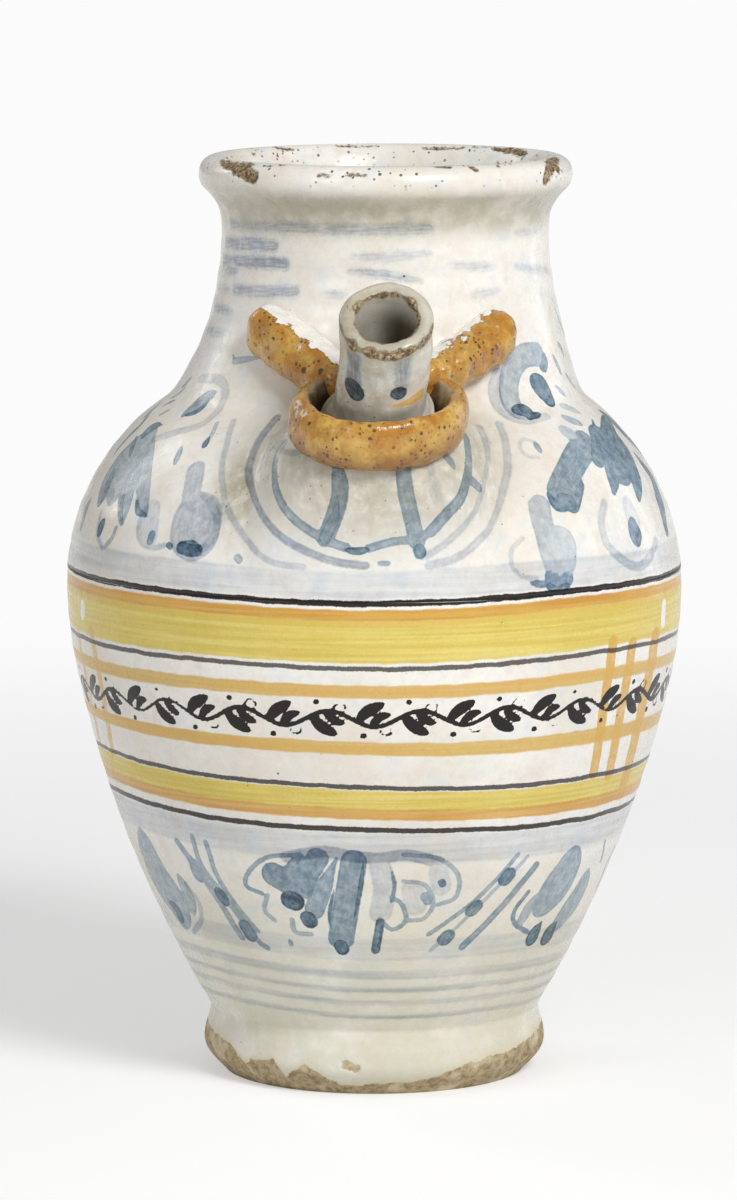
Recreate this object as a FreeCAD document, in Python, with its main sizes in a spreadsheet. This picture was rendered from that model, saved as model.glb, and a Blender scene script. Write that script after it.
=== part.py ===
import FreeCAD, Part
import math
import os
import Sketcher

# A wet drug jar of tin-glazed earthenware: a thrown jar with a spout at the front.
# Millimetres, +Z up. The origin is the centre of the base. The spout points to -Y.

doc = FreeCAD.newDocument("wet_drug_jar")
V = FreeCAD.Vector

# Driving dimensions
sizes = {
    "rim_height": 270.0,
    "belly_radius": 90.65,
    "belly_depth": 125.3,
    "shoulder_curve": 67.6,
    "belly_curve": 117.4,
    "lower_curve": 336.0,
    "root_curve": 10.8,
    "neck_curve": 102.6,
    "throat_set_in": 42.45,
    "throat_depth": 20.0,
    "roll_set_out": 1.8,
    "roll_radius": 5.0,
    "waist_set_in": 42.05,
    "waist_height": 19.0,
    "flange_set_out": 1.4,
    "flange_height": 9.0,
    "flange_round": 6.0,
    "base_set_in": 5.5,
    "wall_thickness": 6.0,
    "floor_thickness": 9.0,
    "glaze_thickness": 0.7,
    "floor_disc_bevel": 3.0,
    "belly_joint_drop": 16.7,
    "neck_joint_rise": 67.3,
    "rim_joint_rise": 3.0,
    "joint_bevel": 20.0,
    "spout_seat_angle": 43.2,
    "spout_tilt": 35.0,
    "spout_radius": 13.2,
    "spout_bore_radius": 8.6,
    "spout_length": 49.0,
    "spout_lip_round": 1.4,
    "spout_foot_radius": 16.0,
    "spout_foot_level": 14.5,
    "spout_foot_height": 5.0,
    "boss_tilt": 22.0,
    "boss_top_radius": 24.0,
    "boss_top_level": 9.0,
    "boss_foot_radius": 38.0,
    "boss_foot_level": 27.0,
    "boss_curve": 90.0,
    "ring_level": 13.4,
    "ring_tilt": 16.0,
    "ring_radius": 20.8,
    "ring_thickness": 9.0,
    "ring_height": 14.6,
    "ring_round": 4.3,
    "brace_seat_angle": 40.0,
    "brace_spread": 41.0,
    "brace_lift": 4.4,
    "brace_rise": 22.0,
    "brace_length": 32.5,
    "brace_radius": 7.0,
    "handle_set_out": 12.0,
    "handle_drop": 44.0,
    "handle_radius": 35.5,
    "handle_thickness": 9.0,
    "handle_width": 28.0,
    "handle_round": 3.8,
    "clearance": 10.0,
}

sheet = doc.addObject("Spreadsheet::Sheet", "Sizes")
for row, (alias, value) in enumerate(sizes.items(), start=1):
    sheet.set(f"A{row}", alias)
    sheet.set(f"B{row}", str(value))
    sheet.setAlias(f"B{row}", alias)
doc.recompute()

# Radii that keep their distance from the belly, and heights that keep theirs from the rim
BELLY_HEIGHT = "(rim_height - belly_depth)"
THROAT_RADIUS = "(belly_radius - throat_set_in)"
THROAT_HEIGHT = "(rim_height - throat_depth)"
ROLL_CENTRE_RADIUS = f"({THROAT_RADIUS} + roll_set_out)"
WAIST_RADIUS = "(belly_radius - waist_set_in)"
FLANGE_RADIUS = f"({WAIST_RADIUS} + flange_set_out)"
BASE_RADIUS = f"({FLANGE_RADIUS} - base_set_in)"
BELLY_JOINT_HEIGHT = f"({BELLY_HEIGHT} - belly_joint_drop)"
NECK_JOINT_HEIGHT = f"({BELLY_HEIGHT} + neck_joint_rise)"
RIM_JOINT_HEIGHT = f"({THROAT_HEIGHT} + rim_joint_rise)"


def size(expression):
    """Value of an expression in the sheet's aliases, used to place outlines before they are bound."""
    return float(sheet.evalExpression(expression))


def bound(expression):
    """The same expression, as an object outside the sheet writes it."""
    words = sorted(sizes, key=len, reverse=True)
    out = ""
    position = 0
    while position < len(expression):
        word = next((w for w in words if expression.startswith(w, position)), None)
        if word:
            out += "Sizes." + word
            position += len(word)
        else:
            out += expression[position]
            position += 1
    return out


# Outlines: closed chains of lines and tangent arcs, drawn in the XZ plane and turned about Z


def circles_meet(centre_a, reach_a, centre_b, reach_b, side):
    """Point at the two given distances from two centres, left (1) or right (-1) of the line a-b."""
    ax, ay = centre_a
    bx, by = centre_b
    span = math.hypot(bx - ax, by - ay)
    ux, uy = (bx - ax) / span, (by - ay) / span
    along = (reach_a**2 - reach_b**2 + span**2) / (2 * span)
    aside = side * math.sqrt(max(reach_a**2 - along**2, 0.0))
    return (ax + along * ux - aside * uy, ay + along * uy + aside * ux)


def toward(start, end, distance):
    span = math.hypot(end[0] - start[0], end[1] - start[1])
    return (
        start[0] + (end[0] - start[0]) * distance / span,
        start[1] + (end[1] - start[1]) * distance / span,
    )


class Outline:
    """A sketch whose pieces are added end to end; every length is bound to an expression."""

    def __init__(self, body, name):
        self.sketch = body.newObject("Sketcher::SketchObject", name)
        plane = next(o for o in body.Origin.OriginFeatures if o.Role == "XZ_Plane")
        self.sketch.AttachmentSupport = [(plane, "")]
        self.sketch.MapMode = "FlatFace"
        self.pieces = []

    def line(self, start, end):
        index = self.sketch.addGeometry(Part.LineSegment(V(*start, 0), V(*end, 0)))
        return self.follow((index, 1, 2))

    def arc(self, centre, start, end, turn):
        """Arc from start to end; turn is 1 when it runs counter-clockwise and -1 when clockwise."""
        first, last = (start, end) if turn > 0 else (end, start)
        angles = [math.atan2(p[1] - centre[1], p[0] - centre[0]) for p in (first, last)]
        if angles[1] <= angles[0]:
            angles[1] += 2 * math.pi
        radius = math.hypot(first[0] - centre[0], first[1] - centre[1])
        circle = Part.Circle(V(*centre, 0), V(0, 0, 1), radius)
        index = self.sketch.addGeometry(Part.ArcOfCircle(circle, *angles))
        return self.follow((index, 1, 2) if turn > 0 else (index, 2, 1))

    def follow(self, piece):
        self.pieces.append(piece)
        return piece

    def constrain(self, *terms):
        return self.sketch.addConstraint(Sketcher.Constraint(*terms))

    def join(self, first, second, smooth=False):
        kind = "Tangent" if smooth else "Coincident"
        self.constrain(kind, first[0], first[2], second[0], second[1])

    def bind(self, kind, terms, expression):
        index = self.constrain(kind, *terms, size(expression))
        self.sketch.setExpression(f"Constraints[{index}]", bound(expression))

    def place(self, index, vertex, across=None, up=None):
        """Distance of a point from the jar's axis and its height, each only where it is given."""
        if across is not None:
            self.bind("DistanceX", (-1, 1, index, vertex), across)
        if up is not None:
            self.bind("DistanceY", (-1, 1, index, vertex), up)

    def radius(self, piece, expression):
        self.bind("Radius", (piece[0],), expression)

    def on_axis(self, index, vertex):
        self.constrain("PointOnObject", index, vertex, -2)

    def level(self, piece):
        self.constrain("Horizontal", piece[0])

    def upright(self, piece):
        self.constrain("Vertical", piece[0])


def turned(body, outline):
    """Turns the outline once about the Z axis."""
    form = body.newObject("PartDesign::Revolution", body.Name + "_turned")
    form.Profile = outline.sketch
    form.ReferenceAxis = (outline.sketch, ["V_Axis"])
    form.Angle = 360.0
    body.Tip = form
    return body


def wall_line(outline, depth):
    """The jar's side from waist to throat, at a given depth under the glazed face."""
    waist = (size(f"{WAIST_RADIUS} - ({depth})"), size("waist_height"))
    belly = (size(f"belly_radius - ({depth})"), size(BELLY_HEIGHT))
    throat = (size(f"{THROAT_RADIUS} - ({depth})"), size(THROAT_HEIGHT))
    lower_reach = size(f"lower_curve - ({depth})")
    belly_reach = size(f"belly_curve - ({depth})")
    shoulder_reach = size(f"shoulder_curve - ({depth})")
    root_reach = size(f"root_curve + ({depth})")
    neck_reach = size(f"neck_curve + ({depth})")
    belly_centre = (belly[0] - belly_reach, belly[1])
    shoulder_centre = (belly[0] - shoulder_reach, belly[1])
    neck_centre = (throat[0] + neck_reach, throat[1])
    lower_centre = circles_meet(belly_centre, lower_reach - belly_reach, waist, lower_reach, -1)
    root_centre = circles_meet(
        shoulder_centre, shoulder_reach + root_reach, neck_centre, neck_reach - root_reach, 1
    )
    low_meeting = toward(lower_centre, belly_centre, lower_reach)
    shoulder_meeting = toward(shoulder_centre, root_centre, shoulder_reach)
    neck_meeting = toward(neck_centre, root_centre, neck_reach)

    lower = outline.arc(lower_centre, waist, low_meeting, 1)
    belly_arc = outline.arc(belly_centre, low_meeting, belly, 1)
    shoulder = outline.arc(shoulder_centre, belly, shoulder_meeting, 1)
    root = outline.arc(root_centre, shoulder_meeting, neck_meeting, -1)
    neck = outline.arc(neck_centre, neck_meeting, throat, -1)

    outline.place(lower[0], lower[1], f"{WAIST_RADIUS} - ({depth})", "waist_height")
    outline.radius(lower, f"lower_curve - ({depth})")
    outline.join(lower, belly_arc, smooth=True)
    outline.place(belly_arc[0], belly_arc[2], f"belly_radius - ({depth})", BELLY_HEIGHT)
    outline.place(belly_arc[0], 3, None, BELLY_HEIGHT)
    outline.radius(belly_arc, f"belly_curve - ({depth})")
    outline.join(belly_arc, shoulder)
    outline.place(shoulder[0], 3, None, BELLY_HEIGHT)
    outline.radius(shoulder, f"shoulder_curve - ({depth})")
    outline.join(shoulder, root, smooth=True)
    outline.radius(root, f"root_curve + ({depth})")
    outline.join(root, neck, smooth=True)
    outline.place(neck[0], neck[2], f"{THROAT_RADIUS} - ({depth})", THROAT_HEIGHT)
    outline.place(neck[0], 3, None, THROAT_HEIGHT)
    outline.radius(neck, f"neck_curve + ({depth})")
    return lower, neck, throat


def lip_line(outline, neck, throat, skin, outside):
    """From the throat round the rolled lip to its crest."""
    roll_centre = (size(ROLL_CENTRE_RADIUS), size("rim_height - roll_radius"))
    roll = size(f"roll_radius - ({skin})")
    # The flare leaves the throat upright and meets the roll smoothly, from outside or inside it.
    sign = 1 if outside else -1
    across = roll_centre[0] - throat[0]
    up = roll_centre[1] - throat[1]
    flare_reach = (across**2 + up**2 - roll**2) / (2 * (across + sign * roll))
    flare_centre = (throat[0] + flare_reach, throat[1])
    meeting = toward(roll_centre, flare_centre, sign * roll)
    crest = (roll_centre[0], roll_centre[1] + roll)
    flare = outline.arc(flare_centre, throat, meeting, -1)
    lip = outline.arc(roll_centre, meeting, crest, sign)
    outline.join(neck, flare)
    outline.place(flare[0], 3, None, THROAT_HEIGHT)
    outline.join(flare, lip, smooth=True)
    outline.place(lip[0], 3, ROLL_CENTRE_RADIUS, "rim_height - roll_radius")
    outline.radius(lip, f"roll_radius - ({skin})")
    outline.place(lip[0], lip[2], ROLL_CENTRE_RADIUS)
    return lip, crest


def outer_form(name, depth):
    """Solid inside the jar's outer face at a depth under the glaze, from the waist to the lip's crest."""
    body = doc.addObject("PartDesign::Body", name)
    outline = Outline(body, name + "_outline")
    waist = (size(f"{WAIST_RADIUS} - ({depth})"), size("waist_height"))
    bottom = outline.line((0, waist[1]), waist)
    lower, neck, throat = wall_line(outline, depth)
    lip, crest = lip_line(outline, neck, throat, depth, True)
    top = outline.line(crest, (0, crest[1]))
    axis = outline.line((0, crest[1]), (0, waist[1]))
    outline.join(bottom, lower)
    outline.level(bottom)
    outline.join(lip, top)
    outline.level(top)
    outline.join(top, axis)
    outline.join(axis, bottom)
    outline.on_axis(axis[0], axis[1])
    outline.on_axis(axis[0], axis[2])
    return turned(body, outline)


def inner_form(name, skin):
    """Solid that fills the jar's inside, at a depth of skin behind the glazed inner face."""
    depth = f"wall_thickness + 2 * glaze_thickness - ({skin})"
    floor = f"floor_thickness + glaze_thickness - ({skin})"
    body = doc.addObject("PartDesign::Body", name)
    outline = Outline(body, name + "_outline")
    side = size(f"{WAIST_RADIUS} - ({depth})")
    waist_height = size("waist_height")
    floor_height = size(floor)
    corner = waist_height - floor_height
    top_height = size("rim_height + clearance")
    bottom = outline.line((0, floor_height), (side - corner, floor_height))
    turn_up = outline.arc(
        (side - corner, waist_height), (side - corner, floor_height), (side, waist_height), 1
    )
    lower, neck, throat = wall_line(outline, depth)
    lip, crest = lip_line(outline, neck, throat, skin, False)
    mouth = outline.line(crest, (crest[0], top_height))
    top = outline.line((crest[0], top_height), (0, top_height))
    axis = outline.line((0, top_height), (0, floor_height))
    outline.level(bottom)
    outline.join(bottom, turn_up, smooth=True)
    outline.place(turn_up[0], 3, None, "waist_height")
    outline.join(turn_up, lower)
    outline.join(lip, mouth)
    outline.upright(mouth)
    outline.join(mouth, top)
    outline.level(top)
    outline.place(top[0], top[1], None, "rim_height + clearance")
    outline.join(top, axis)
    outline.join(axis, bottom)
    outline.on_axis(axis[0], axis[1])
    outline.on_axis(axis[0], axis[2])
    outline.place(axis[0], axis[2], None, floor)
    return turned(body, outline)


def foot_form(name):
    """Solid of the foot: a flat base, a bevelled lower edge and a rounded flange up to the waist."""
    body = doc.addObject("PartDesign::Body", name)
    outline = Outline(body, name + "_outline")
    base = (size(BASE_RADIUS), 0.0)
    waist = (size(WAIST_RADIUS), size("waist_height"))
    centre = (size(f"{FLANGE_RADIUS} - flange_round"), size("flange_height"))
    reach = size("flange_round")

    def touch(point, side):
        span = math.hypot(point[0] - centre[0], point[1] - centre[1])
        return circles_meet(centre, reach, point, math.sqrt(span**2 - reach**2), side)

    low_touch = touch(base, 1)
    high_touch = touch(waist, -1)
    bottom = outline.line((0, 0), base)
    bevel = outline.line(base, low_touch)
    edge = outline.arc(centre, low_touch, high_touch, 1)
    slope = outline.line(high_touch, waist)
    top = outline.line(waist, (0, waist[1]))
    axis = outline.line((0, waist[1]), (0, 0))
    outline.level(bottom)
    outline.place(bottom[0], bottom[2], BASE_RADIUS)
    outline.join(bottom, bevel)
    outline.join(bevel, edge, smooth=True)
    outline.place(edge[0], 3, f"{FLANGE_RADIUS} - flange_round", "flange_height")
    outline.radius(edge, "flange_round")
    outline.join(edge, slope, smooth=True)
    outline.join(slope, top)
    outline.level(top)
    outline.place(top[0], top[1], WAIST_RADIUS, "waist_height")
    outline.join(top, axis)
    outline.join(axis, bottom)
    outline.on_axis(axis[0], axis[1])
    outline.constrain("Coincident", axis[0], axis[2], -1, 1)
    return turned(body, outline)


def zone(name, low, high):
    """Everything between two bevelled joints, which rise towards the jar's axis.

    Each joint is given by its height and the radius at which it has that height.
    """
    body = doc.addObject("PartDesign::Body", name)
    outline = Outline(body, name + "_outline")
    far = "belly_radius + clearance"

    def rise(joint, radius):
        height, middle = joint
        return f"{height} + ({middle} - ({radius})) * tan(joint_bevel)"

    corners = [("0", rise(low, "0")), (far, rise(low, far)), (far, rise(high, far)), ("0", rise(high, "0"))]
    points = [(size(across), size(up)) for across, up in corners]
    sides = [outline.line(points[i], points[(i + 1) % 4]) for i in range(4)]
    for i in range(4):
        outline.join(sides[i], sides[(i + 1) % 4])
    for side, (across, up) in zip(sides, corners):
        if across == "0":
            outline.on_axis(side[0], side[1])
            outline.bind("DistanceY", (-1, 1, side[0], side[1]), up)
        else:
            outline.place(side[0], side[1], across, up)
    return turned(body, outline)


def joined(kind, name, base, tool):
    item = doc.addObject(kind, name)
    item.Base = base
    item.Tool = tool
    return item


def cut(name, base, *tools):
    """Base without each tool; the last cut carries the name."""
    for number, tool in enumerate(tools, start=1):
        last = number == len(tools)
        base = joined("Part::Cut", name if last else f"{name}_cut{number}", base, tool)
    return base


def common(name, base, tool):
    return joined("Part::Common", name, base, tool)


# The thrown jar: four nested forms give the clay wall and the glaze on both its faces
glaze_face = outer_form("glaze_face", "0")
clay_face = outer_form("clay_face", "glaze_thickness")
clay_inside = inner_form("clay_inside", "glaze_thickness")
glaze_inside = inner_form("glaze_inside", "0")
clay_wall = cut("clay_wall", clay_face, clay_inside)
foot = foot_form("foot")

belly_joint = (BELLY_JOINT_HEIGHT, "belly_radius")
neck_joint = (NECK_JOINT_HEIGHT, THROAT_RADIUS)
rim_joint = (RIM_JOINT_HEIGHT, THROAT_RADIUS)
below_foot = ("0 - clearance", "0")
above_rim = ("rim_height + clearance", "belly_radius")
lower_zone = zone("lower_zone", below_foot, belly_joint)
upper_zone = zone("upper_zone", belly_joint, neck_joint)
neck_zone = zone("neck_zone", neck_joint, rim_joint)
rim_zone = zone("rim_zone", rim_joint, above_rim)

FLOOR_CORNER = "(waist_height - floor_thickness)"
FLOOR_RADIUS = f"{WAIST_RADIUS} - wall_thickness - glaze_thickness - {FLOOR_CORNER}"
base_floor = doc.addObject("Part::Cone", "base_floor")
base_floor.setExpression("Radius1", bound(f"{FLOOR_RADIUS} + floor_disc_bevel"))
base_floor.setExpression("Radius2", bound(FLOOR_RADIUS))
base_floor.setExpression("Height", "Sizes.floor_thickness")

# The spout stands on the shoulder's curve, where its axis crosses the glazed face
ROOT_OUT = "(belly_radius - shoulder_curve + shoulder_curve * cos(spout_seat_angle))"
ROOT_UP = f"({BELLY_HEIGHT} + shoulder_curve * sin(spout_seat_angle))"


def along_spout(distance):
    """Back and up expressions of a point on the spout's axis, at a distance outside its root."""
    back = f"0 - {ROOT_OUT} - ({distance}) * sin(spout_tilt)"
    up = f"{ROOT_UP} + ({distance}) * cos(spout_tilt)"
    return back, up


def tube_outline(body):
    """Half section of the solid tube: a rounded lip, and a foot that spreads inside the collar."""
    outline = Outline(body, "tube_outline")
    outer = size("spout_radius")
    edge = size("spout_lip_round")
    length = size("spout_length")
    low = size("0 - boss_foot_level")
    foot_radius = size("spout_foot_radius")
    foot_level = size("spout_foot_level")
    foot_low = size("spout_foot_level - spout_foot_radius + spout_radius")
    foot_high = size("spout_foot_level + spout_foot_height")
    root = outline.line((0, low), (outer, low))
    buried = outline.line((outer, low), (outer, foot_low))
    under = outline.line((outer, foot_low), (foot_radius, foot_level))
    over = outline.line((foot_radius, foot_level), (outer, foot_high))
    side = outline.line((outer, foot_high), (outer, length - edge))
    lip = outline.arc((outer - edge, length - edge), (outer, length - edge), (outer - edge, length), 1)
    top = outline.line((outer - edge, length), (0, length))
    axis = outline.line((0, length), (0, low))
    for first, second in zip(outline.pieces, outline.pieces[1:]):
        outline.join(first, second, smooth=lip in (first, second))
    outline.join(axis, root)
    outline.level(root)
    outline.place(root[0], root[2], "spout_radius")
    outline.bind("DistanceY", (axis[0], axis[2], -1, 1), "boss_foot_level")
    outline.upright(buried)
    outline.place(under[0], under[1], None, "spout_foot_level - spout_foot_radius + spout_radius")
    outline.place(over[0], over[1], "spout_foot_radius", "spout_foot_level")
    outline.place(side[0], side[1], "spout_radius", "spout_foot_level + spout_foot_height")
    outline.upright(side)
    outline.radius(lip, "spout_lip_round")
    outline.level(top)
    outline.place(axis[0], axis[1], None, "spout_length")
    outline.on_axis(axis[0], axis[1])
    outline.on_axis(axis[0], axis[2])
    return outline


def boss_outline(body):
    """Half section of the mound of clay that carries the collar and flares on to the shoulder."""
    outline = Outline(body, "boss_outline")
    low = (size("boss_foot_radius"), size("0 - boss_foot_level"))
    high = (size("boss_top_radius"), size("boss_top_level"))
    curve = size("boss_curve")
    centre = circles_meet(low, curve, high, curve, -1)
    root = outline.line((0, low[1]), low)
    flare = outline.arc(centre, low, high, -1)
    top = outline.line(high, (0, high[1]))
    axis = outline.line((0, high[1]), (0, low[1]))
    for first, second in zip(outline.pieces, outline.pieces[1:]):
        outline.join(first, second)
    outline.join(axis, root)
    outline.level(root)
    outline.place(root[0], root[2], "boss_foot_radius")
    outline.bind("DistanceY", (axis[0], axis[2], -1, 1), "boss_foot_level")
    outline.radius(flare, "boss_curve")
    outline.place(top[0], top[1], "boss_top_radius", "boss_top_level")
    outline.level(top)
    outline.on_axis(axis[0], axis[1])
    outline.on_axis(axis[0], axis[2])
    return outline


def band_outline(body, radius, thickness, height, rounding):
    """Half section of a ring: a rectangle with rounded corners, level with the plane of the ring."""
    outline = Outline(body, body.Name + "_outline")
    outer, inner = size(f"{radius} + {thickness} / 2"), size(f"{radius} - {thickness} / 2")
    half = size(f"{height} / 2")
    edge = size(rounding)
    corners = [(outer, -half, -1, 1), (outer, half, -1, -1), (inner, half, 1, -1), (inner, -half, 1, 1)]
    ends = []
    for number, (across, up, inward, upward) in enumerate(corners):
        beside = (across + inward * edge, up)
        above = (across, up + upward * edge)
        start, end = (beside, above) if number % 2 == 0 else (above, beside)
        ends.append((start, end, (across + inward * edge, up + upward * edge)))
    for number, (start, end, centre) in enumerate(ends):
        outline.arc(centre, start, end, 1)
        outline.line(end, ends[(number + 1) % 4][0])
    pieces = outline.pieces
    for number, piece in enumerate(pieces):
        outline.join(piece, pieces[(number + 1) % 8], smooth=True)
    for arc, across, up in (
        (pieces[0], f"{radius} + {thickness} / 2 - {rounding}", None),
        (pieces[4], f"{radius} - {thickness} / 2 + {rounding}", f"{height} / 2 - {rounding}"),
    ):
        outline.place(arc[0], 3, across, up)
    outline.bind("DistanceY", (pieces[0][0], 3, -1, 1), f"{height} / 2 - {rounding}")
    for arc in pieces[0::2]:
        outline.radius(arc, rounding)
    outline.upright(pieces[1])
    outline.level(pieces[3])
    outline.upright(pieces[5])
    outline.level(pieces[7])
    return outline


def roll_outline(body):
    """Half section of a short roll of clay with round ends."""
    outline = Outline(body, "roll_outline")
    radius = size("brace_radius")
    length = size("brace_length")
    near = outline.arc((0, 0), (0, -radius), (radius, 0), 1)
    side = outline.line((radius, 0), (radius, length))
    far = outline.arc((0, length), (radius, length), (0, length + radius), 1)
    axis = outline.line((0, length + radius), (0, -radius))
    outline.join(near, side, smooth=True)
    outline.join(side, far, smooth=True)
    outline.join(far, axis)
    outline.join(axis, near)
    outline.constrain("Coincident", near[0], 3, -1, 1)
    outline.radius(near, "brace_radius")
    outline.radius(far, "brace_radius")
    outline.place(far[0], 3, None, "brace_length")
    outline.on_axis(far[0], 3)
    outline.on_axis(axis[0], axis[1])
    outline.on_axis(axis[0], axis[2])
    return outline


def set_place(item, across, back, up, turn):
    expression = f"placement(vector({across}; {back}; {up}); rotation({turn}))"
    item.setExpression("Placement", bound(expression))


tube_form = doc.addObject("PartDesign::Body", "tube_form")
turned(tube_form, tube_outline(tube_form))
set_place(tube_form, "0", *along_spout("0"), "vector(1; 0; 0); spout_tilt")

boss_form = doc.addObject("PartDesign::Body", "boss_form")
turned(boss_form, boss_outline(boss_form))
set_place(boss_form, "0", *along_spout("0"), "vector(1; 0; 0); boss_tilt")

bore = doc.addObject("Part::Cylinder", "bore")
bore.setExpression("Radius", "Sizes.spout_bore_radius")
bore.setExpression("Height", "Sizes.boss_foot_level + Sizes.spout_length + Sizes.clearance")
set_place(bore, "0", *along_spout("0 - boss_foot_level"), "vector(1; 0; 0); spout_tilt")

ring_form = doc.addObject("PartDesign::Body", "ring_form")
turned(ring_form, band_outline(ring_form, "ring_radius", "ring_thickness", "ring_height", "ring_round"))
ring_back, ring_up = along_spout("ring_level")
set_place(ring_form, "0", ring_back, ring_up, "vector(1; 0; 0); ring_tilt")

# Each brace starts in the back of the collar and rises outwards to the neck
right_roll = doc.addObject("PartDesign::Body", "right_roll")
turned(right_roll, roll_outline(right_roll))
set_place(
    right_roll,
    "ring_radius * sin(brace_seat_angle)",
    f"{ring_back} + ring_radius * cos(brace_seat_angle) * cos(ring_tilt)",
    f"{ring_up} + ring_radius * cos(brace_seat_angle) * sin(ring_tilt) + brace_lift",
    "0 - brace_spread; 0; brace_rise - 90",
)
left_roll = doc.addObject("Part::Mirroring", "left_roll")
left_roll.Source = right_roll
left_roll.Normal = (1, 0, 0)

# The handle is a hoop of strap whose front part is buried in the jar and cut away there
hoop = doc.addObject("PartDesign::Body", "hoop")
turned(hoop, band_outline(hoop, "handle_radius", "handle_thickness", "handle_width", "handle_round"))
handle_back = f"{THROAT_RADIUS} + handle_set_out"
handle_up = f"{THROAT_HEIGHT} - handle_drop"
set_place(hoop, "0", handle_back, handle_up, "vector(0; 1; 0); 90")

# The space inside the collar, which the braces leave open
collar_space = doc.addObject("Part::Cylinder", "collar_space")
collar_space.setExpression("Radius", "Sizes.ring_radius")
collar_space.setExpression("Height", "2 * Sizes.ring_height")
set_place(
    collar_space,
    "0",
    f"{ring_back} + ring_height * sin(ring_tilt)",
    f"{ring_up} - ring_height * cos(ring_tilt)",
    "vector(1; 0; 0); ring_tilt",
)

additions = doc.addObject("Part::MultiFuse", "additions")
additions.Shapes = [tube_form, boss_form, right_roll, left_roll, hoop]

# The pieces, each an object whose label names its file
pieces = [
    base_floor,
    cut("foot_ring", foot, clay_inside, base_floor),
    common("lower_wall", clay_wall, lower_zone),
    cut("upper_wall", common("upper_wall_whole", clay_wall, upper_zone), bore),
    common("neck_wall", clay_wall, neck_zone),
    common("rim_roll", clay_wall, rim_zone),
    cut("spout_tube", tube_form, clay_face, bore),
    cut("spout_ring", ring_form, tube_form, clay_face),
    cut("spout_boss", boss_form, clay_face, tube_form, ring_form),
    cut("right_brace", right_roll, clay_face, ring_form, boss_form, collar_space),
    cut("left_brace", left_roll, clay_face, ring_form, boss_form, collar_space),
    cut("strap_handle", hoop, clay_face),
    cut("outer_glaze", glaze_face, clay_face, clay_inside, additions),
    cut("inner_glaze", clay_inside, glaze_inside, bore),
]
doc.recompute()

for item in doc.Objects:
    if "Invalid" in item.State or "Error" in item.State:
        raise RuntimeError(f"{item.Name} did not build: {item.State}")
for piece in pieces:
    if piece.Shape.isNull() or not piece.Shape.isValid() or not piece.Shape.Solids:
        raise RuntimeError(f"{piece.Name} has no valid solid")
    piece.Label = piece.Name

os.makedirs("parts", exist_ok=True)
for piece in pieces:
    piece.Shape.exportStep(f"parts/{piece.Label}.step")
    print(f"{piece.Label}: {len(piece.Shape.Solids)} solid, {piece.Shape.Volume:.0f} mm3")
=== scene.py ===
"""Looks of the wet drug jar: thrown forms, applied clay, brushwork and glazes around the fixed frame."""

import math

import bpy
import numpy as np
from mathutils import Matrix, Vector
from mathutils.bvhtree import BVHTree


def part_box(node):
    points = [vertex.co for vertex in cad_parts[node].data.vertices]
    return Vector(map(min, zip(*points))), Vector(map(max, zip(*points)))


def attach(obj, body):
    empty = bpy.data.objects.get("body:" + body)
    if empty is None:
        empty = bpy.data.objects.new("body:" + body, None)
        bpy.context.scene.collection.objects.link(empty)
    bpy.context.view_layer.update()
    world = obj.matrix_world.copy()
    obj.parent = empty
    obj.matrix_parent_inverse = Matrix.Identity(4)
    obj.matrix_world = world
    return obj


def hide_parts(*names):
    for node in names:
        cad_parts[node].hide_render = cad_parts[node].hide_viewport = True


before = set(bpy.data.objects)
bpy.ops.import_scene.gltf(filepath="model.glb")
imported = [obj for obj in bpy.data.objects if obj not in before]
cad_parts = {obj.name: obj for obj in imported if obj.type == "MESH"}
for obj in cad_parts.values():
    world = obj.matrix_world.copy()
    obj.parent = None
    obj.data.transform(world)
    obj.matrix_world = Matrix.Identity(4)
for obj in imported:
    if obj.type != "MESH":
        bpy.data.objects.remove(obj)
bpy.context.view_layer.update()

MM = 0.001
SCENE = bpy.context.scene

# Camera, found from the photograph's outline: 2 m from the jar's axis and a little above it
PHOTO_WIDTH = 737
PHOTO_HEIGHT = 1200
FOCAL_PIXELS = 6857
CAMERA_PLACE = (-1.75, -2000.0, 405.0)
CAMERA_PITCH = math.radians(7.58)
SENSOR_HEIGHT = 36.0

# The thrown jar in millimetres, as in the frame
RIM_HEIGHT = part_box("rim_roll")[1].z / MM
BELLY_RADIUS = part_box("outer_glaze")[1].x / MM
BELLY_HEIGHT = RIM_HEIGHT - 125.3
SHOULDER_CURVE = 67.6
BELLY_CURVE = 117.4
LOWER_CURVE = 336.0
ROOT_CURVE = 10.8
NECK_CURVE = 102.6
THROAT_RADIUS = BELLY_RADIUS - 42.45
THROAT_HEIGHT = RIM_HEIGHT - 20.0
ROLL_RADIUS = 5.0
ROLL_CENTRE = (THROAT_RADIUS + 1.8, RIM_HEIGHT - ROLL_RADIUS)
WAIST = (BELLY_RADIUS - 42.05, 19.0)
FLANGE_ROUND = 6.0
FLANGE_CENTRE = (WAIST[0] + 1.4 - FLANGE_ROUND, 9.0)
BASE_RADIUS = WAIST[0] - 4.1
FLOOR_HEIGHT = 9.7
WALL = 7.4

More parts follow.
